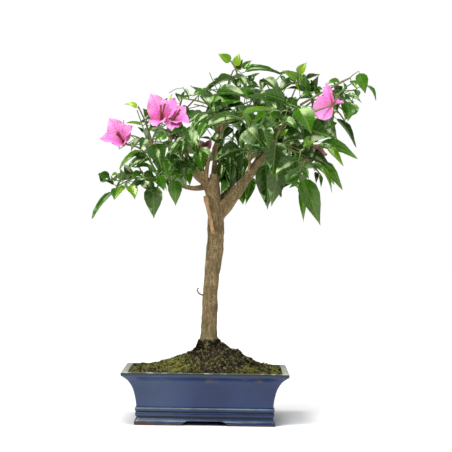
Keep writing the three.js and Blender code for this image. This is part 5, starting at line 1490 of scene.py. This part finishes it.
def leaf_sprig(leaf, rng):
    """Where a leaf stands in its spray. Each spray keeps to one tint, and young ends are paler."""
    bend = min(range(len(LEAF_BENDS)), key=lambda k: abs(LEAF_BENDS[k] - leaf.bend))
    tint = np.random.default_rng(leaf.spray + SPRAY_SEED).choice(SPRAY_TINTS)
    if rng.random() < STRAY_SHARE:
        tint = rng.choice(SPRAY_TINTS)
    if rng.random() < YOUNG_SHARE * leaf.young:
        tint = rng.choice(YOUNG_TINTS)
    if leaf.tint >= 0:
        tint = leaf.tint
    return Sprig(leaf.foot, leaf.ahead, leaf.side, (leaf.length, leaf.width, leaf.length),
                 2 * bend + int(rng.integers(2)), int(tint))


def twig_line(twig):
    return smooth(tapering(twig.points, twig.radius), TWIG_STEPS * (len(twig.points) - 1) + 1)


def stalk_line(blade, ends):
    """A stalk from the nearest twig to the foot of a listed leaf."""
    start = ends[np.argmin(np.linalg.norm(ends - blade.foot, axis=1))]
    pull = (start + blade.foot) / 2 + np.array([0, 0, LEAF_STALK_LIFT])
    return tapering(arch(start, pull, blade.foot, 4), LEAF_STALK_RADIUS)


def make_foliage(crown, sweep, spray, finishes):
    shapes = leaf_shapes()
    ends = [twig.points[1:] for mass in crown for twig in mass.twigs]
    ends = np.concatenate(ends + [line[:, :3] for line in stem_lines()])
    for number, mass in enumerate(crown):
        rng = np.random.default_rng(LEAF_SEED + number)
        placed = hanging_blades(mass.name) + blades_in_view(mass.name)
        sprigs = [leaf_sprig(leaf, rng) for leaf in placed + mass.leaves]
        leaves = sprayed(f"leaves_{mass.name}", sprigs, spray, shapes, finishes["leaves"], finishes["under"])
        place(leaves, "leaf", f"foliage_{mass.name}")
        lines = [(twig_line(twig), twig.radius[0] > OLD_TWIG_RADIUS) for twig in mass.twigs[1:]]
        lines += [(stalk_line(blade, ends), False) for blade in placed]
        place(swept(f"twigs_{mass.name}", lines, sweep, *finishes["twigs"]), "bark")


TUBE_LENGTH = 24
TUBE_VARIETY = [0.82, 1]
TUBE_OFFSET = 1.2
TUBE_SPREAD = 0.6
TUBE_LIFT = 0.1
TUBE_SEED = 9
BRACT_WIDENING = 1.04
# The bracts of these shoots, deep in the crown and behind its leaves, take darker faded tones that also
# paint the shade they stand in.
SHADED_FADED_SHOOTS = ["inner", "low_right"]
SIDE_STALK_RADIUS = [0.7, 0.9]
OLD_STEM_RADIUS = 1.4
STALK_POINTS = 9
STEM_POINTS = 13


def make_flowers(sweep, spray, finishes):
    shapes = bract_shapes()
    tube_sprigs, stalks = [], []
    rng = np.random.default_rng(TUBE_SEED)
    for label, shoot in FLOWERING_SHOOTS.items():
        bracts = []
        stalks.append((smooth(tapering(shoot["path"], STALK_RADIUS), STALK_POINTS), True))
        for flower in shoot["flowers"]:
            spike = np.array(flower["spike"], float) - flower["at"]
            if "stalk_from" in flower:
                stalks.append((tapering([flower["stalk_from"], flower["at"]], SIDE_STALK_RADIUS), False))
            for k, blade in enumerate(flower_blades(flower)):
                size = (blade.length, blade.width * BRACT_WIDENING, blade.length)
                bracts.append(Sprig(blade.foot, blade.ahead, blade.side, size, k % 3, k % 2))
                way = unit(unit(spike) + unit(blade.ahead) * TUBE_SPREAD + blade.normal * TUBE_LIFT)
                length = min(TUBE_LENGTH, np.linalg.norm(spike)) * rng.uniform(*TUBE_VARIETY)
                tube_sprigs.append(Sprig(blade.foot + blade.normal * TUBE_OFFSET, way,
                                         squared(blade.side, way), (length,) * 3, 0, int(rng.integers(2))))
        tints = finishes["shaded_faded_bracts" if label in SHADED_FADED_SHOOTS else "bracts"]
        piece = sprayed(f"bracts_{label}", bracts, spray, shapes, tints, finishes["bract_under"])
        place(piece, "bract", f"flowering_shoot_{label}")
    tubes = shape_set("tube", [tube_shape()])
    tints = finishes["tubes"]
    place(sprayed("tube_flowers", tube_sprigs, spray, tubes, tints, tints[1]), "bract")
    stems = [(smooth(line, STEM_POINTS), line[0, 3] > OLD_STEM_RADIUS) for line in stem_lines()]
    place(swept("green_stems", stems, sweep, *finishes["twigs"]), "bark")
    place(swept("flower_stalks", stalks, sweep, *finishes["twigs"]), "bark")


# Wood.
LIMB_VOXEL = 0.75
LIMB_SIDES = 20
TRUNK_POINTS = 81
GROWTH_POINTS = 15
BOUGH_POINTS = 25
STEM_START_POINTS = 10
BOUGH_SLIMNESS = 0.85
STEM_TIP_RADIUS = 1.3

# Bark. Each row of fissures has a scale, a shift, a width, a sharpness and a depth, each row of lumps a
# scale, a shift and a height.
BARK_STRETCH = 6
OLD_BARK_RADIUS = 10
FISSURE_DEPTH = 0.8
FISSURES = [[0.27, 0, 0.19, 1.3, 1], [0.75, 40, 0.2, 1, 0.7]]
WARP_SCALE = 0.09
WARP = 2.2
LUMPS = [[0.055, 9, 1.44], [0.13, 3, 0.63]]
GRAIN_SCALE = 1.3
GRAIN_DEPTH = 0.16
FLARE_LEVEL = 100
FLARE_FALL = 9
FLARE_DEPTH = 1.2

# How much slimmer than in the solids a bough is at its end.
SLIMMER = dict(far_right=0.45, low_right=0.5, left=0.7, front_top=0.55, upright=0.7, upper_left=0.7)


def limb_lines(crown):
    """The lines of trunk and boughs, each bough carried on into its mass's stem, thinning all the way."""
    lines = [smooth(TRUNK, TRUNK_POINTS), smooth(tapering(**TRUNK_GROWTHS[0]), GROWTH_POINTS)]
    stems = {mass.plan["bough"]: mass.twigs[0].points for mass in crown}
    for name, bough in BOUGHS.items():
        line = smooth(tapering(**bough), BOUGH_POINTS)
        line[:, 3] *= np.linspace(1, SLIMMER.get(name, BOUGH_SLIMNESS), len(line))
        stem = smooth(stems[name], STEM_START_POINTS)[1:]
        lines.append(np.vstack([line, tapering(stem, [line[-1, 3], STEM_TIP_RADIUS])]))
    return lines


def nearest_on_limbs(points, lines):
    """For each point its offset from the nearest limb's line, that limb's radius and way, and the place."""
    centres, radii = np.split(np.concatenate(lines), [3], axis=1)
    ways = np.concatenate([np.repeat(unit(line[-1:, :3] - line[:1, :3]), len(line), 0) for line in lines])
    found = [(np.linalg.norm(some[:, None] - centres, axis=2) - radii[:, 0]).argmin(1)
             for some in np.array_split(points, len(points) // 4000 + 1)]
    found = np.concatenate(found)
    return points - centres[found], radii[found, 0], ways[found], centres[found]


def noise_at(places):
    return np.array([noise.noise(Vector(place)) for place in places])


def relief(points, normals, lines):
    """Bark: long fissures that run with the limb, lumps, and a root flare at the foot."""
    offset, radii, ways, centres = nearest_on_limbs(points, lines)
    grain = offset + ways * (centres * ways).sum(1, keepdims=True) / BARK_STRETCH
    age = np.clip(radii / OLD_BARK_RADIUS, 0.15, 1)
    warped = grain + noise_at(points * WARP_SCALE)[:, None] * WARP
    fissure = np.zeros(len(points))
    for scale, shift, width, sharpness, depth in FISSURES:
        crack = np.abs(noise_at(warped * scale + shift))
        fissure = np.maximum(fissure, np.clip(1 - crack / width, 0, 1)**sharpness * depth)
    lift = -FISSURE_DEPTH * fissure
    for scale, shift, height in LUMPS:
        lift += noise_at(points * scale + shift) * height
    lift = lift * age + noise_at(grain * GRAIN_SCALE) * GRAIN_DEPTH
    angle = np.arctan2(offset[:, 1], offset[:, 0])
    roots = np.clip(np.sin(3 * angle + 0.8) + 0.5 * np.sin(5 * angle + 2.1), -0.6, 1.2)
    flare = np.exp(-np.clip(points[:, 2] - FLARE_LEVEL, 0, None) / FLARE_FALL)
    lift += flare * (points[:, 2] < FLARE_LEVEL + 50) * roots * FLARE_DEPTH
    return points + normals * lift[:, None], fissure, age


def make_limbs(crown, sweep, finishes):
    lines = limb_lines(crown)
    rough = swept("limbs_rough", [(line, False) for line in lines], sweep, None, None, LIMB_SIDES)
    bpy.context.scene.collection.objects.link(rough)
    skin = rough.modifiers.new("skin", "REMESH")
    skin.mode = "VOXEL"
    skin.voxel_size = LIMB_VOXEL * MM
    soft = rough.modifiers.new("soft", "SMOOTH")
    soft.factor = 0.5
    soft.iterations = 6
    mesh = plain_mesh(rough)
    points, normals = np.empty((2, len(mesh.vertices), 3))
    mesh.vertices.foreach_get("co", points.ravel())
    mesh.vertex_normals.foreach_get("vector", normals.ravel())
    points, fissure, age = relief((points - POT_MIDDLE) / MM, normals, lines)
    mesh.vertices.foreach_set("co", metres(points).ravel())
    finished(mesh, finishes["bark"], fissure=fissure, age=age)
    place(bpy.data.objects.new("limbs", mesh), "bark", "trunk", *(f"bough_{name}" for name in BOUGHS))


def stick(name, line, sides, unevenness, bark, top, hollow=0.0):
    """A piece of wood of uneven rings about its line, closed by a cut or broken top."""
    points, fissure = [], []
    ways = unit(np.gradient(line[:, :3], axis=0))
    for row, way in zip(line, ways):
        for k in range(sides):
            outward = around(way, FULL_TURN * k / sides) * row[3]
            spot = Vector(row[:3] + outward)
            bump = noise.noise(spot * 0.35) + 0.5 * noise.noise(spot * 0.9)
            points.append(row[:3] + outward * (1 + unevenness * bump))
            fissure.append(max(0, bump))
    last = len(points) - sides
    faces = rings_to_faces(len(line), sides, close_last=False)
    faces += [[last + k, last + (k + 1) % sides, len(points)] for k in range(sides)]
    points.append(line[-1, :3] - ways[-1] * hollow)
    fissure.append(0)
    mesh = mesh_of(name, metres(points), faces)
    finished(mesh, bark, fissure=fissure, age=np.full(len(points), 0.4))
    mesh.materials.append(top)
    for polygon in mesh.polygons[-sides:]:
        polygon.material_index = 1
    return bpy.data.objects.new(name, mesh)


# The sawn stub: how much slimmer it is than its solid, and the swelling below its cut.
STUB_SLIMNESS = 0.84
STUB_SWELLING = 0.7
SWELLING_PLACE = 0.93
SWELLING_REACH = 0.05


def make_cut_wood(finishes):
    """The sawn-off bough, the dry spur and the curled dry twig."""
    bark, sawn = finishes["stub"], finishes["sawn"]
    line = smooth(tapering(**CUT_WOOD["cut_stub"]), 28)
    from_swelling = (np.linspace(0, 1, len(line)) - SWELLING_PLACE) / SWELLING_REACH
    swelling = STUB_SWELLING * np.exp(-from_swelling**2)
    line[:, 3] = line[:, 3] * STUB_SLIMNESS + swelling
    place(stick("cut_stub_wood", line, 18, 0.16, bark, sawn, 0.4), "cut_wood", "cut_stub")
    line = smooth(tapering(**CUT_WOOD["dead_spur"]), 20)
    place(stick("dead_spur_wood", line, 12, 0.22, bark, sawn, 0.1), "cut_wood", "dead_spur")
    line = smooth(tapering(**TRUNK_GROWTHS[1]), 20)
    place(stick("dry_twig", line, 9, 0.2, finishes["dry_twig"], sawn), "bark")


# The pot and its soil.
CORNER_RADIUS = 3.5
CORNER_STEPS = 6
FLOOR_UNDERSIDE = 6.4
LONG_SIDE_GAP = [34.6, 21.6]
SHORT_SIDE_GAP = [24, 14]
GLAZE_EDGE = math.radians(38)

# The wall from under its foot over its lip to its inside, as levels and insets from the lip's edge.
FOOT_PROFILE = [[FLOOR_UNDERSIDE, 27], [0.6, 26.6], [0, 26], [0, 18.2], [0.5, 17.6], [3, 17.6],
                [6.2, 18.3], [8.2, 19.7], [9.8, 20.3], [10.6, 20.5]]
BEADS = [[10.9, 17.4, 1.7], [17.4, 23.8, 2.1]]
BEAD_INSET = 20.4
WALL_PROFILE = [
    [24.6, 20.1], [27, 19.8], [29.3, 19.5], [33.8, 18.9], [38.3, 17.9], [43, 16.8], [47.3, 15.5],
    [50.7, 14], [53.8, 12.2], [56.6, 10.4], [59, 8.5], [61.4, 5.8], [63.3, 3.2], [64.6, 1.3],
    [65.4, 0.35], [66.3, 0], [69, 0], [69.7, 0.25], [70, 0.9], [70, 8], [69.8, 8.7], [69.2, 9],
    [64, 10], [45, 22], [14, 25],
]

# Where the glaze pools, at 0, and where it thins, at 1, by level. The thin bead tops and foot also paint
# highlights, and the pooled grooves also paint shade.
GLAZE_THINNING_AND_LIGHT = [
    [0, 0.75], [2, 0.5], [4, 0.5], [5.4, 0.9], [6.6, 0.6], [8, 0.35], [9.6, 0.06], [10.9, 0],
    [12.4, 0.06], [13.6, 0.34], [15, 0.36], [16.2, 0.06], [17.4, 0], [18.9, 0.06], [20, 0.36],
    # From 62 to 64.4 the glaze leans a little towards thin, which paints light into the band where the lip's
    # shadow falls.
    [21, 0.62], [22.4, 0.9], [23.6, 0.45], [25, 0.36], [55, 0.36], [62, 0.42], [64.4, 0.5], [66, 0.48],
    [67.4, 0.3], [68.6, 0.1], [69.4, 0.12], [70, 0.9],
]


def bead(low, high, bulge):
    """A raised bead round the pot's foot."""
    return [[blend(low, high, (1 - math.cos(angle)) / 2), BEAD_INSET - bulge * math.sin(angle)]
            for angle in np.linspace(0, math.pi, 9)]


def rounded_ring(level, inset):
    """A ring round the pot with rounded corners."""
    half_width, half_depth = (side / 2 - inset - CORNER_RADIUS for side in (POT_WIDTH, POT_DEPTH))
    points = []
    for corner, (x, y) in enumerate(((1, 1), (-1, 1), (-1, -1), (1, -1))):
        for step in range(CORNER_STEPS + 1):
            angle = (corner + step / CORNER_STEPS) * math.pi / 2
            points.append([x * half_width + CORNER_RADIUS * math.cos(angle),
                           y * half_depth + CORNER_RADIUS * math.sin(angle), level])
    return points


def foot_passage(gap, along_x):
    """A cutter for the curved opening between two feet."""
    low, high = gap
    outline = [[low, -1]]
    for share in np.linspace(0, 1, 9):
        rise = FLOOR_UNDERSIDE * (1 - math.cos(math.pi * share)) * 0.49
        outline.append([blend(low, high, share), rise])
    outline += [[-x, z] for x, z in outline[::-1]]
    points = [[x, reach, z] for reach in (POT_WIDTH, -POT_WIDTH) for x, z in outline]
    if along_x:
        points = [[y, -x, z] for x, y, z in points]
    return mesh_of("passage", metres(points), rings_to_faces(2, len(outline)))


def make_pot(finishes):
    profile = FOOT_PROFILE + bead(*BEADS[0]) + bead(*BEADS[1]) + WALL_PROFILE
    rings = [rounded_ring(*row) for row in profile]
    faces = rings_to_faces(len(rings), len(rings[0]))
    body = add_object("pot_rough", mesh_of("pot", metres(np.concatenate(rings)), faces))
    cutters = [add_object("passage", foot_passage(LONG_SIDE_GAP, False)),
               add_object("passage", foot_passage(SHORT_SIDE_GAP, True))]
    for cutter in cutters:
        cut = body.modifiers.new("cut", "BOOLEAN")
        cut.operation = "DIFFERENCE"
        cut.solver = "EXACT"
        cut.object = cutter
    mesh = plain_mesh(body)
    for cutter in cutters:
        bpy.data.objects.remove(cutter)
    levels = np.array([vertex.co.z for vertex in mesh.vertices]) / MM
    finished(mesh, finishes["glaze"], thin=np.interp(levels, *np.array(GLAZE_THINNING_AND_LIGHT).T))
    mesh.set_sharp_from_angle(angle=GLAZE_EDGE)
    place(bpy.data.objects.new("glazed_pot", mesh), "glaze", "pot")


SOIL_EDGE = 67.5
SOIL_BASE = 62
SOIL_HALF = [100.7, 73.2]
SOIL_STEP = 1.3
SOIL_BORDER = 6
CLUMPS = [[3.4, 0.085], [1.9, 0.21], [1.1, 0.55], [0.3, 1.5]]
MOUND_CENTRE = [8, 0]
MOUND_STRETCH = 1.25
MOUND_TOP = 9
MOUND_RISE = 40
MOUND_FALL = 45
MOUND_REACH = 100
MOUND_DIPS = [[44, 10, -3], [72, 10, 3], [-14, 12, 2.5]]
TRUNK_FOOT = [4, 0]
FOOT_TOP = 13
FOOT_RISE = 3
FOOT_FALL = 6
TUFT_SPACING = 2.3
TUFT_SIZE = [1.4, 3.2]
BARE_FOOT = 11
STRANDS = 0.4
CRUMBS = 1600
CRUMB_SIZE = [0.6, 1.7]
CRUMB_FREE_FOOT = 13

# The moss that climbs the trunk's foot.
COLLAR_TUFTS = 900
COLLAR_LEVELS = [95, 109]
COLLAR_RADIUS = 12.5
COLLAR_SLOPE = 0.36
# Mostly the darkest tint, whose near-black also paints the shade at the trunk's foot.
COLLAR_TINTS = [0, 0, 0, 1, 1, 2, 3]
COLLAR_SIZE = [1.2, 2.4]

# Brighter drifts of moss, as their middles and reaches, and the limits between the moss's tints.
MOSS_DRIFTS = [[(-38, -50), 20], [(-44, -16), 24], [(-30, -58), 10], [(20, 46), 22], [(-40, 30), 20]]
MOSS_LIMITS = [-0.35, -0.05, 0.3, 0.62]
MOSS_SPREAD = 0.65
MOSS_SEED = 77
STRAW_TINT = 5
STRAW_SHARE = 0.5


def soil_level(x, y):
    """The mound's level without its grain."""
    away = np.hypot(x - MOUND_CENTRE[0], MOUND_STRETCH * (y - MOUND_CENTRE[1]))
    edge = np.clip(1 - (away / MOUND_REACH)**6, 0, 1)
    level = SOIL_EDGE + MOUND_RISE * np.exp(-np.maximum(0, away - MOUND_TOP) / MOUND_FALL) * edge
    foot = np.hypot(x - TRUNK_FOOT[0], y - TRUNK_FOOT[1])
    level += FOOT_RISE * np.exp(-np.maximum(0, foot - FOOT_TOP) / FOOT_FALL)
    for middle, reach, depth in MOUND_DIPS:
        level -= depth * np.exp(-((x - middle) / reach)**2 - (y / 45)**2)
    return level


def soil_grain(x, y):
    return sum(height * noise.noise(Vector((x, y, 0)) * scale) for height, scale in CLUMPS)


def make_soil(finishes):
    wide, deep = (int(2 * half / SOIL_STEP) for half in SOIL_HALF)
    points = []
    for y in np.linspace(-SOIL_HALF[1], SOIL_HALF[1], deep):
        for x in np.linspace(-SOIL_HALF[0], SOIL_HALF[0], wide):
            rim = min(1, (SOIL_HALF[0] - abs(x)) / SOIL_BORDER, (SOIL_HALF[1] - abs(y)) / SOIL_BORDER)
            points.append([x, y, float(soil_level(x, y)) + soil_grain(x, y) * (0.3 + 0.7 * rim)])
    grid = np.arange(wide * deep).reshape(deep, wide)
    squares = grid[:-1, :-1], grid[:-1, 1:], grid[1:, 1:], grid[1:, :-1]
    faces = np.stack(squares, -1).reshape(-1, 4).tolist()
    border = [*grid[0], *grid[1:, -1], *grid[-1, -2::-1], *grid[-2:0:-1, 0]]
    start = len(points)
    points += [[points[k][0] * 0.98, points[k][1] * 0.98, SOIL_BASE] for k in border]
    for k in range(len(border)):
        after = (k + 1) % len(border)
        faces.append([int(border[k]), start + k, start + after, int(border[after])])
    faces.append(list(range(start, len(points)))[::-1])
    mesh = mesh_of("soil", metres(points), faces)
    mesh.materials.append(finishes["soil"])
    place(bpy.data.objects.new("soil_mound", mesh), "soil", "soil")


def tuft_shape(seed):
    """A tuft of moss: a few short pointed blades that lean apart."""
    rng = np.random.default_rng(seed)
    points, faces = [], []
    for k in range(5):
        start = len(points)
        angle = FULL_TURN * k / 5 + rng.uniform(-0.4, 0.4)
        lean = rng.uniform(0.25, 0.8)
        outward = np.array([0, math.cos(angle), math.sin(angle)])
        foot = outward * 0.16
        tip = foot + [rng.uniform(0.6, 1), 0, 0] + outward * lean * 0.8
        for corner in range(3):
            spin = angle + FULL_TURN * corner / 3
            points.append(foot + [-0.25, 0.14 * math.cos(spin), 0.14 * math.sin(spin)])
        points.append(tip)
        faces += [[start, start + 1, start + 3], [start + 1, start + 2, start + 3],
                  [start + 2, start, start + 3], [start, start + 2, start + 1]]
    return mesh_of(f"tuft_{seed}", points, faces, under=[False] * len(faces))


def crumb_shape(seed):
    """A crumb of soil: a lumpy stone of eight sides."""
    rng = np.random.default_rng(seed)
    corners = np.array([[1, 0, 0], [-1, 0, 0], [0, 1, 0], [0, -1, 0], [0, 0, 1], [0, 0, -1]], float)
    corners *= rng.uniform(0.6, 1.1, (6, 1))
    corners += rng.uniform(-0.2, 0.2, (6, 3))
    faces = [[0, 2, 4], [2, 1, 4], [1, 3, 4], [3, 0, 4], [2, 0, 5], [1, 2, 5], [3, 1, 5], [0, 3, 5]]
    return mesh_of(f"crumb_{seed}", corners, faces, under=[False] * len(faces))


def soil_normal(x, y):
    step = 0.5
    slope_x = (soil_level(x + step, y) - soil_level(x - step, y)) / (2 * step)
    slope_y = (soil_level(x, y + step) - soil_level(x, y - step)) / (2 * step)
    return unit([-slope_x, -slope_y, 1])


def ground_sprig(x, y, size, shape, tint, rng, sink, lean=0):
    up = soil_normal(x, y)
    up = unit(up + lean * around(up, rng.uniform(0, FULL_TURN)))
    side = around(up, rng.uniform(0, FULL_TURN))
    level = float(soil_level(x, y)) + soil_grain(x, y)
    return Sprig(np.array([x, y, level - sink]), up, side, size, shape, tint)


def moss_tint(x, y, rng):
    """Green in drifts, brown and dark between them; the darkest tint also paints shade among the tufts."""
    drift = noise.noise(Vector((x * 0.035, y * 0.05, 3)))
    drift += 0.5 * noise.noise(Vector((x * 0.12, y * 0.12, 8)))
    for (middle_x, middle_y), reach in MOSS_DRIFTS:
        drift += 0.9 * math.exp(-((x - middle_x)**2 + (y - middle_y)**2) / reach**2)
    drift += rng.normal(0, MOSS_SPREAD)
    drift -= 1.2 * math.exp(-max(0, math.hypot(x - 10, y + 8) - 18) / 18)
    return sum(drift >= limit for limit in MOSS_LIMITS)


def make_moss(spray, finishes):
    rng = np.random.default_rng(MOSS_SEED)
    tufts, crumbs = [], []
    for column in np.arange(-SOIL_HALF[0] + 1.5, SOIL_HALF[0] - 1, TUFT_SPACING):
        for row in np.arange(-SOIL_HALF[1] + 1.5, SOIL_HALF[1] - 1, TUFT_SPACING):
            x, y = column + rng.uniform(-1, 1), row + rng.uniform(-1, 1)
            if math.hypot(x - TRUNK_FOOT[0], y) < BARE_FOOT:
                continue
            size = rng.uniform(*TUFT_SIZE)
            tufts.append(ground_sprig(x, y, (size, size * 1.2, size * 1.2), int(rng.integers(4)),
                                      moss_tint(x, y, rng), rng, sink=0.2))
            if rng.random() < STRANDS:
                tint = STRAW_TINT if rng.random() < STRAW_SHARE else moss_tint(x, y, rng)
                tufts.append(ground_sprig(x, y, (size * 1.7, size * 0.8, size * 0.8),
                                          int(rng.integers(4)), tint, rng, sink=0.1, lean=1.3))
    for _ in range(CRUMBS):
        x, y = rng.uniform(-1, 1, 2) * (np.array(SOIL_HALF) - 2)
        if math.hypot(x - TRUNK_FOOT[0], y) < CRUMB_FREE_FOOT:
            continue
        size = rng.uniform(*CRUMB_SIZE)
        crumbs.append(ground_sprig(x, y, (size * 0.8, size, size), int(rng.integers(3)),
                                   int(rng.integers(3)), rng, sink=-0.1))
    for _ in range(COLLAR_TUFTS):
        angle, level = rng.uniform(0, FULL_TURN), rng.uniform(*COLLAR_LEVELS)
        outward = np.array([math.cos(angle), math.sin(angle), 0])
        radius = COLLAR_RADIUS + COLLAR_SLOPE * (COLLAR_LEVELS[1] - level) + rng.uniform(0, 1)
        foot = np.array([*TRUNK_FOOT, level]) + outward * radius
        way = unit(outward + rng.normal(0, 0.5, 3) + np.array([0, 0, 0.3]))
        size = rng.uniform(*COLLAR_SIZE)
        tufts.append(Sprig(foot, way, around(way, 0), (size, size * 1.5, size * 1.5),
                           int(rng.integers(4)), int(rng.choice(COLLAR_TINTS))))
    moss, crumb = finishes["moss"], finishes["crumbs"]
    shapes = shape_set("tuft", [tuft_shape(seed) for seed in range(4)])
    place(sprayed("moss", tufts, spray, shapes, moss, moss[0]), "soil")
    shapes = shape_set("crumb", [crumb_shape(seed) for seed in range(3)])
    place(sprayed("soil_crumbs", crumbs, spray, shapes, crumb, crumb[0]), "soil")


# The stage, the light and the camera.
LENS = 138.8
WORLD_LIGHT = 0.14
LAMPS = [["key", -126, 46, 2.5, 24], ["top", -84, 76, 2.6, 32], ["fill", -40, 30, 0.6, 60]]


def add_lamp(name, azimuth, elevation, power, spread):
    """Sunlight from a direction."""
    lamp = bpy.data.lights.new(name, "SUN")
    lamp.energy = power
    lamp.angle = math.radians(spread)
    azimuth, elevation = math.radians(azimuth), math.radians(elevation)
    way = Vector((math.cos(azimuth) * math.cos(elevation), math.sin(azimuth) * math.cos(elevation),
                  math.sin(elevation)))
    add_object(name, lamp).rotation_euler = (-way).to_track_quat("-Z", "Y").to_euler()


def make_world():
    """Soft light from all round, in front of a white backdrop."""
    world = bpy.data.worlds.new("studio")
    world.use_nodes = True
    tree = world.node_tree
    light = tree.nodes["Background"]
    light.inputs["Color"].default_value = (1, 1, 1, 1)
    light.inputs["Strength"].default_value = WORLD_LIGHT
    backdrop = out(add_node(tree, "ShaderNodeBackground", {"Color": (1, 1, 1, 1), "Strength": 1.0}))
    shown = out(add_node(tree, "ShaderNodeLightPath"), "Is Camera Ray")
    mixed = tree.nodes.new("ShaderNodeMixShader")
    for socket, source in zip(mixed.inputs, (shown, light.outputs[0], backdrop)):
        feed(tree, socket, source)
    feed(tree, tree.nodes["World Output"].inputs["Surface"], mixed.outputs[0])
    bpy.context.scene.world = world


def make_stage():
    finish = Finish("pale_floor", 0.9)
    finish.colour(finish.mixed(finish.noise(0.6, 2), (249, 249, 249), (251, 251, 251)))
    mesh = mesh_of("floor", [[-8, -8, 0], [8, -8, 0], [8, 8, 0], [-8, 8, 0]], [[0, 1, 2, 3]])
    mesh.materials.append(finish.material)
    add_object("floor", mesh)
    make_world()
    for lamp in LAMPS:
        add_lamp(*lamp)


def make_camera():
    lens = bpy.data.cameras.new("view")
    lens.sensor_width = 36
    lens.lens = LENS
    lens.clip_end = 50
    camera = add_object("view", lens)
    turned = Matrix.Rotation(math.pi / 2, 4, "X") @ Matrix.Rotation(PHOTO_TURN, 4, "Z")
    camera.matrix_world = Matrix.Translation(metres(EYE)) @ turned
    bpy.context.scene.camera = camera
    bpy.context.scene.view_settings.view_transform = "Standard"


LEAF_TONES = [
    [(24, 64, 0), (12, 42, 0)], [(58, 110, 0), (34, 80, 0)], [(32, 74, 4), (17, 49, 2)],
    [(106, 148, 10), (78, 122, 6)], [(144, 174, 36), (114, 150, 22)], [(28, 70, 2), (18, 52, 0)],
]
# The moss's tints, from a near-black dark moss that also paints the shade among the tufts, to pale straw.
MOSS_TONES = [(12, 11, 6), (32, 27, 16), (38, 40, 19), (78, 83, 33), (144, 152, 58), (184, 170, 116)]
CRUMB_TONES = [(60, 46, 32), (112, 86, 56), (30, 26, 20)]


def earthy_finishes(name, tones, size):
    """Dull finishes in two tones, the given one and a darker one."""
    finishes = []
    for k, colour in enumerate(tones):
        darker = tuple(int(part * 0.75) for part in colour)
        finishes.append(plain_finish(f"{name}_{k}", 0.95, darker, colour, size, Specular_IOR_Level=0.1))
    return finishes


def make_finishes():
    return {
        "leaves": [leaf_finish(f"leaf_green_{k}", *tones) for k, tones in enumerate(LEAF_TONES)],
        "under": under_finish(),
        "bracts": [
            bract_finish("bract_pink", (244, 124, 206), (252, 172, 226), (214, 72, 168)),
            bract_finish("bract_rose", (242, 112, 206), (250, 152, 220), (206, 60, 164)),
        ],
        "bract_under": bract_finish("bract_back", (226, 98, 174), (236, 126, 192), (196, 62, 146)),
        # Darker faded bracts, whose tones also paint the shade deep in the crown.
        "shaded_faded_bracts": [
            bract_finish("bract_faded", (132, 74, 84), (168, 112, 112), (98, 52, 58)),
            bract_finish("bract_pale", (176, 118, 118), (204, 150, 140), (130, 78, 78)),
        ],
        "tubes": [plain_finish("tube_greenish", 0.6, (92, 74, 38), (116, 66, 50), 0.005),
                  plain_finish("tube_reddish", 0.6, (112, 50, 42), (130, 84, 46), 0.005)],
        "twigs": [twig_finish("green_twig", (84, 122, 44), (112, 138, 62)),
                  twig_finish("olive_twig", (92, 100, 48), (116, 106, 66))],
        "bark": bark_finish(),
        "stub": plain_finish("dry_bark", 0.85, (192, 156, 108), (156, 124, 84), 0.005, 0.0012),
        "dry_twig": plain_finish("dry_twig", 0.85, (128, 112, 88), (96, 84, 66), 0.004, 0.0012),
        "sawn": sawn_finish(),
        "glaze": glaze_finish(),
        # Dark earth under the moss, made darker still as painted shade between the tufts.
        "soil": plain_finish("soil", 0.95, (26, 22, 14), (58, 48, 30), 0.004, 0.002),
        "moss": earthy_finishes("moss", MOSS_TONES, 0.003),
        "crumbs": earthy_finishes("crumb", CRUMB_TONES, 0.002),
    }


def main():
    make_stage()
    make_camera()
    finishes = make_finishes()
    sweep, spray = sweep_tree(), spray_tree()
    crown = grow_crown()
    make_limbs(crown, sweep, finishes)
    make_cut_wood(finishes)
    make_foliage(crown, sweep, spray, finishes)
    make_flowers(sweep, spray, finishes)
    make_pot(finishes)
    make_soil(finishes)
    make_moss(spray, finishes)


main()


def corners(box):
    return [list(corner) for corner in box]
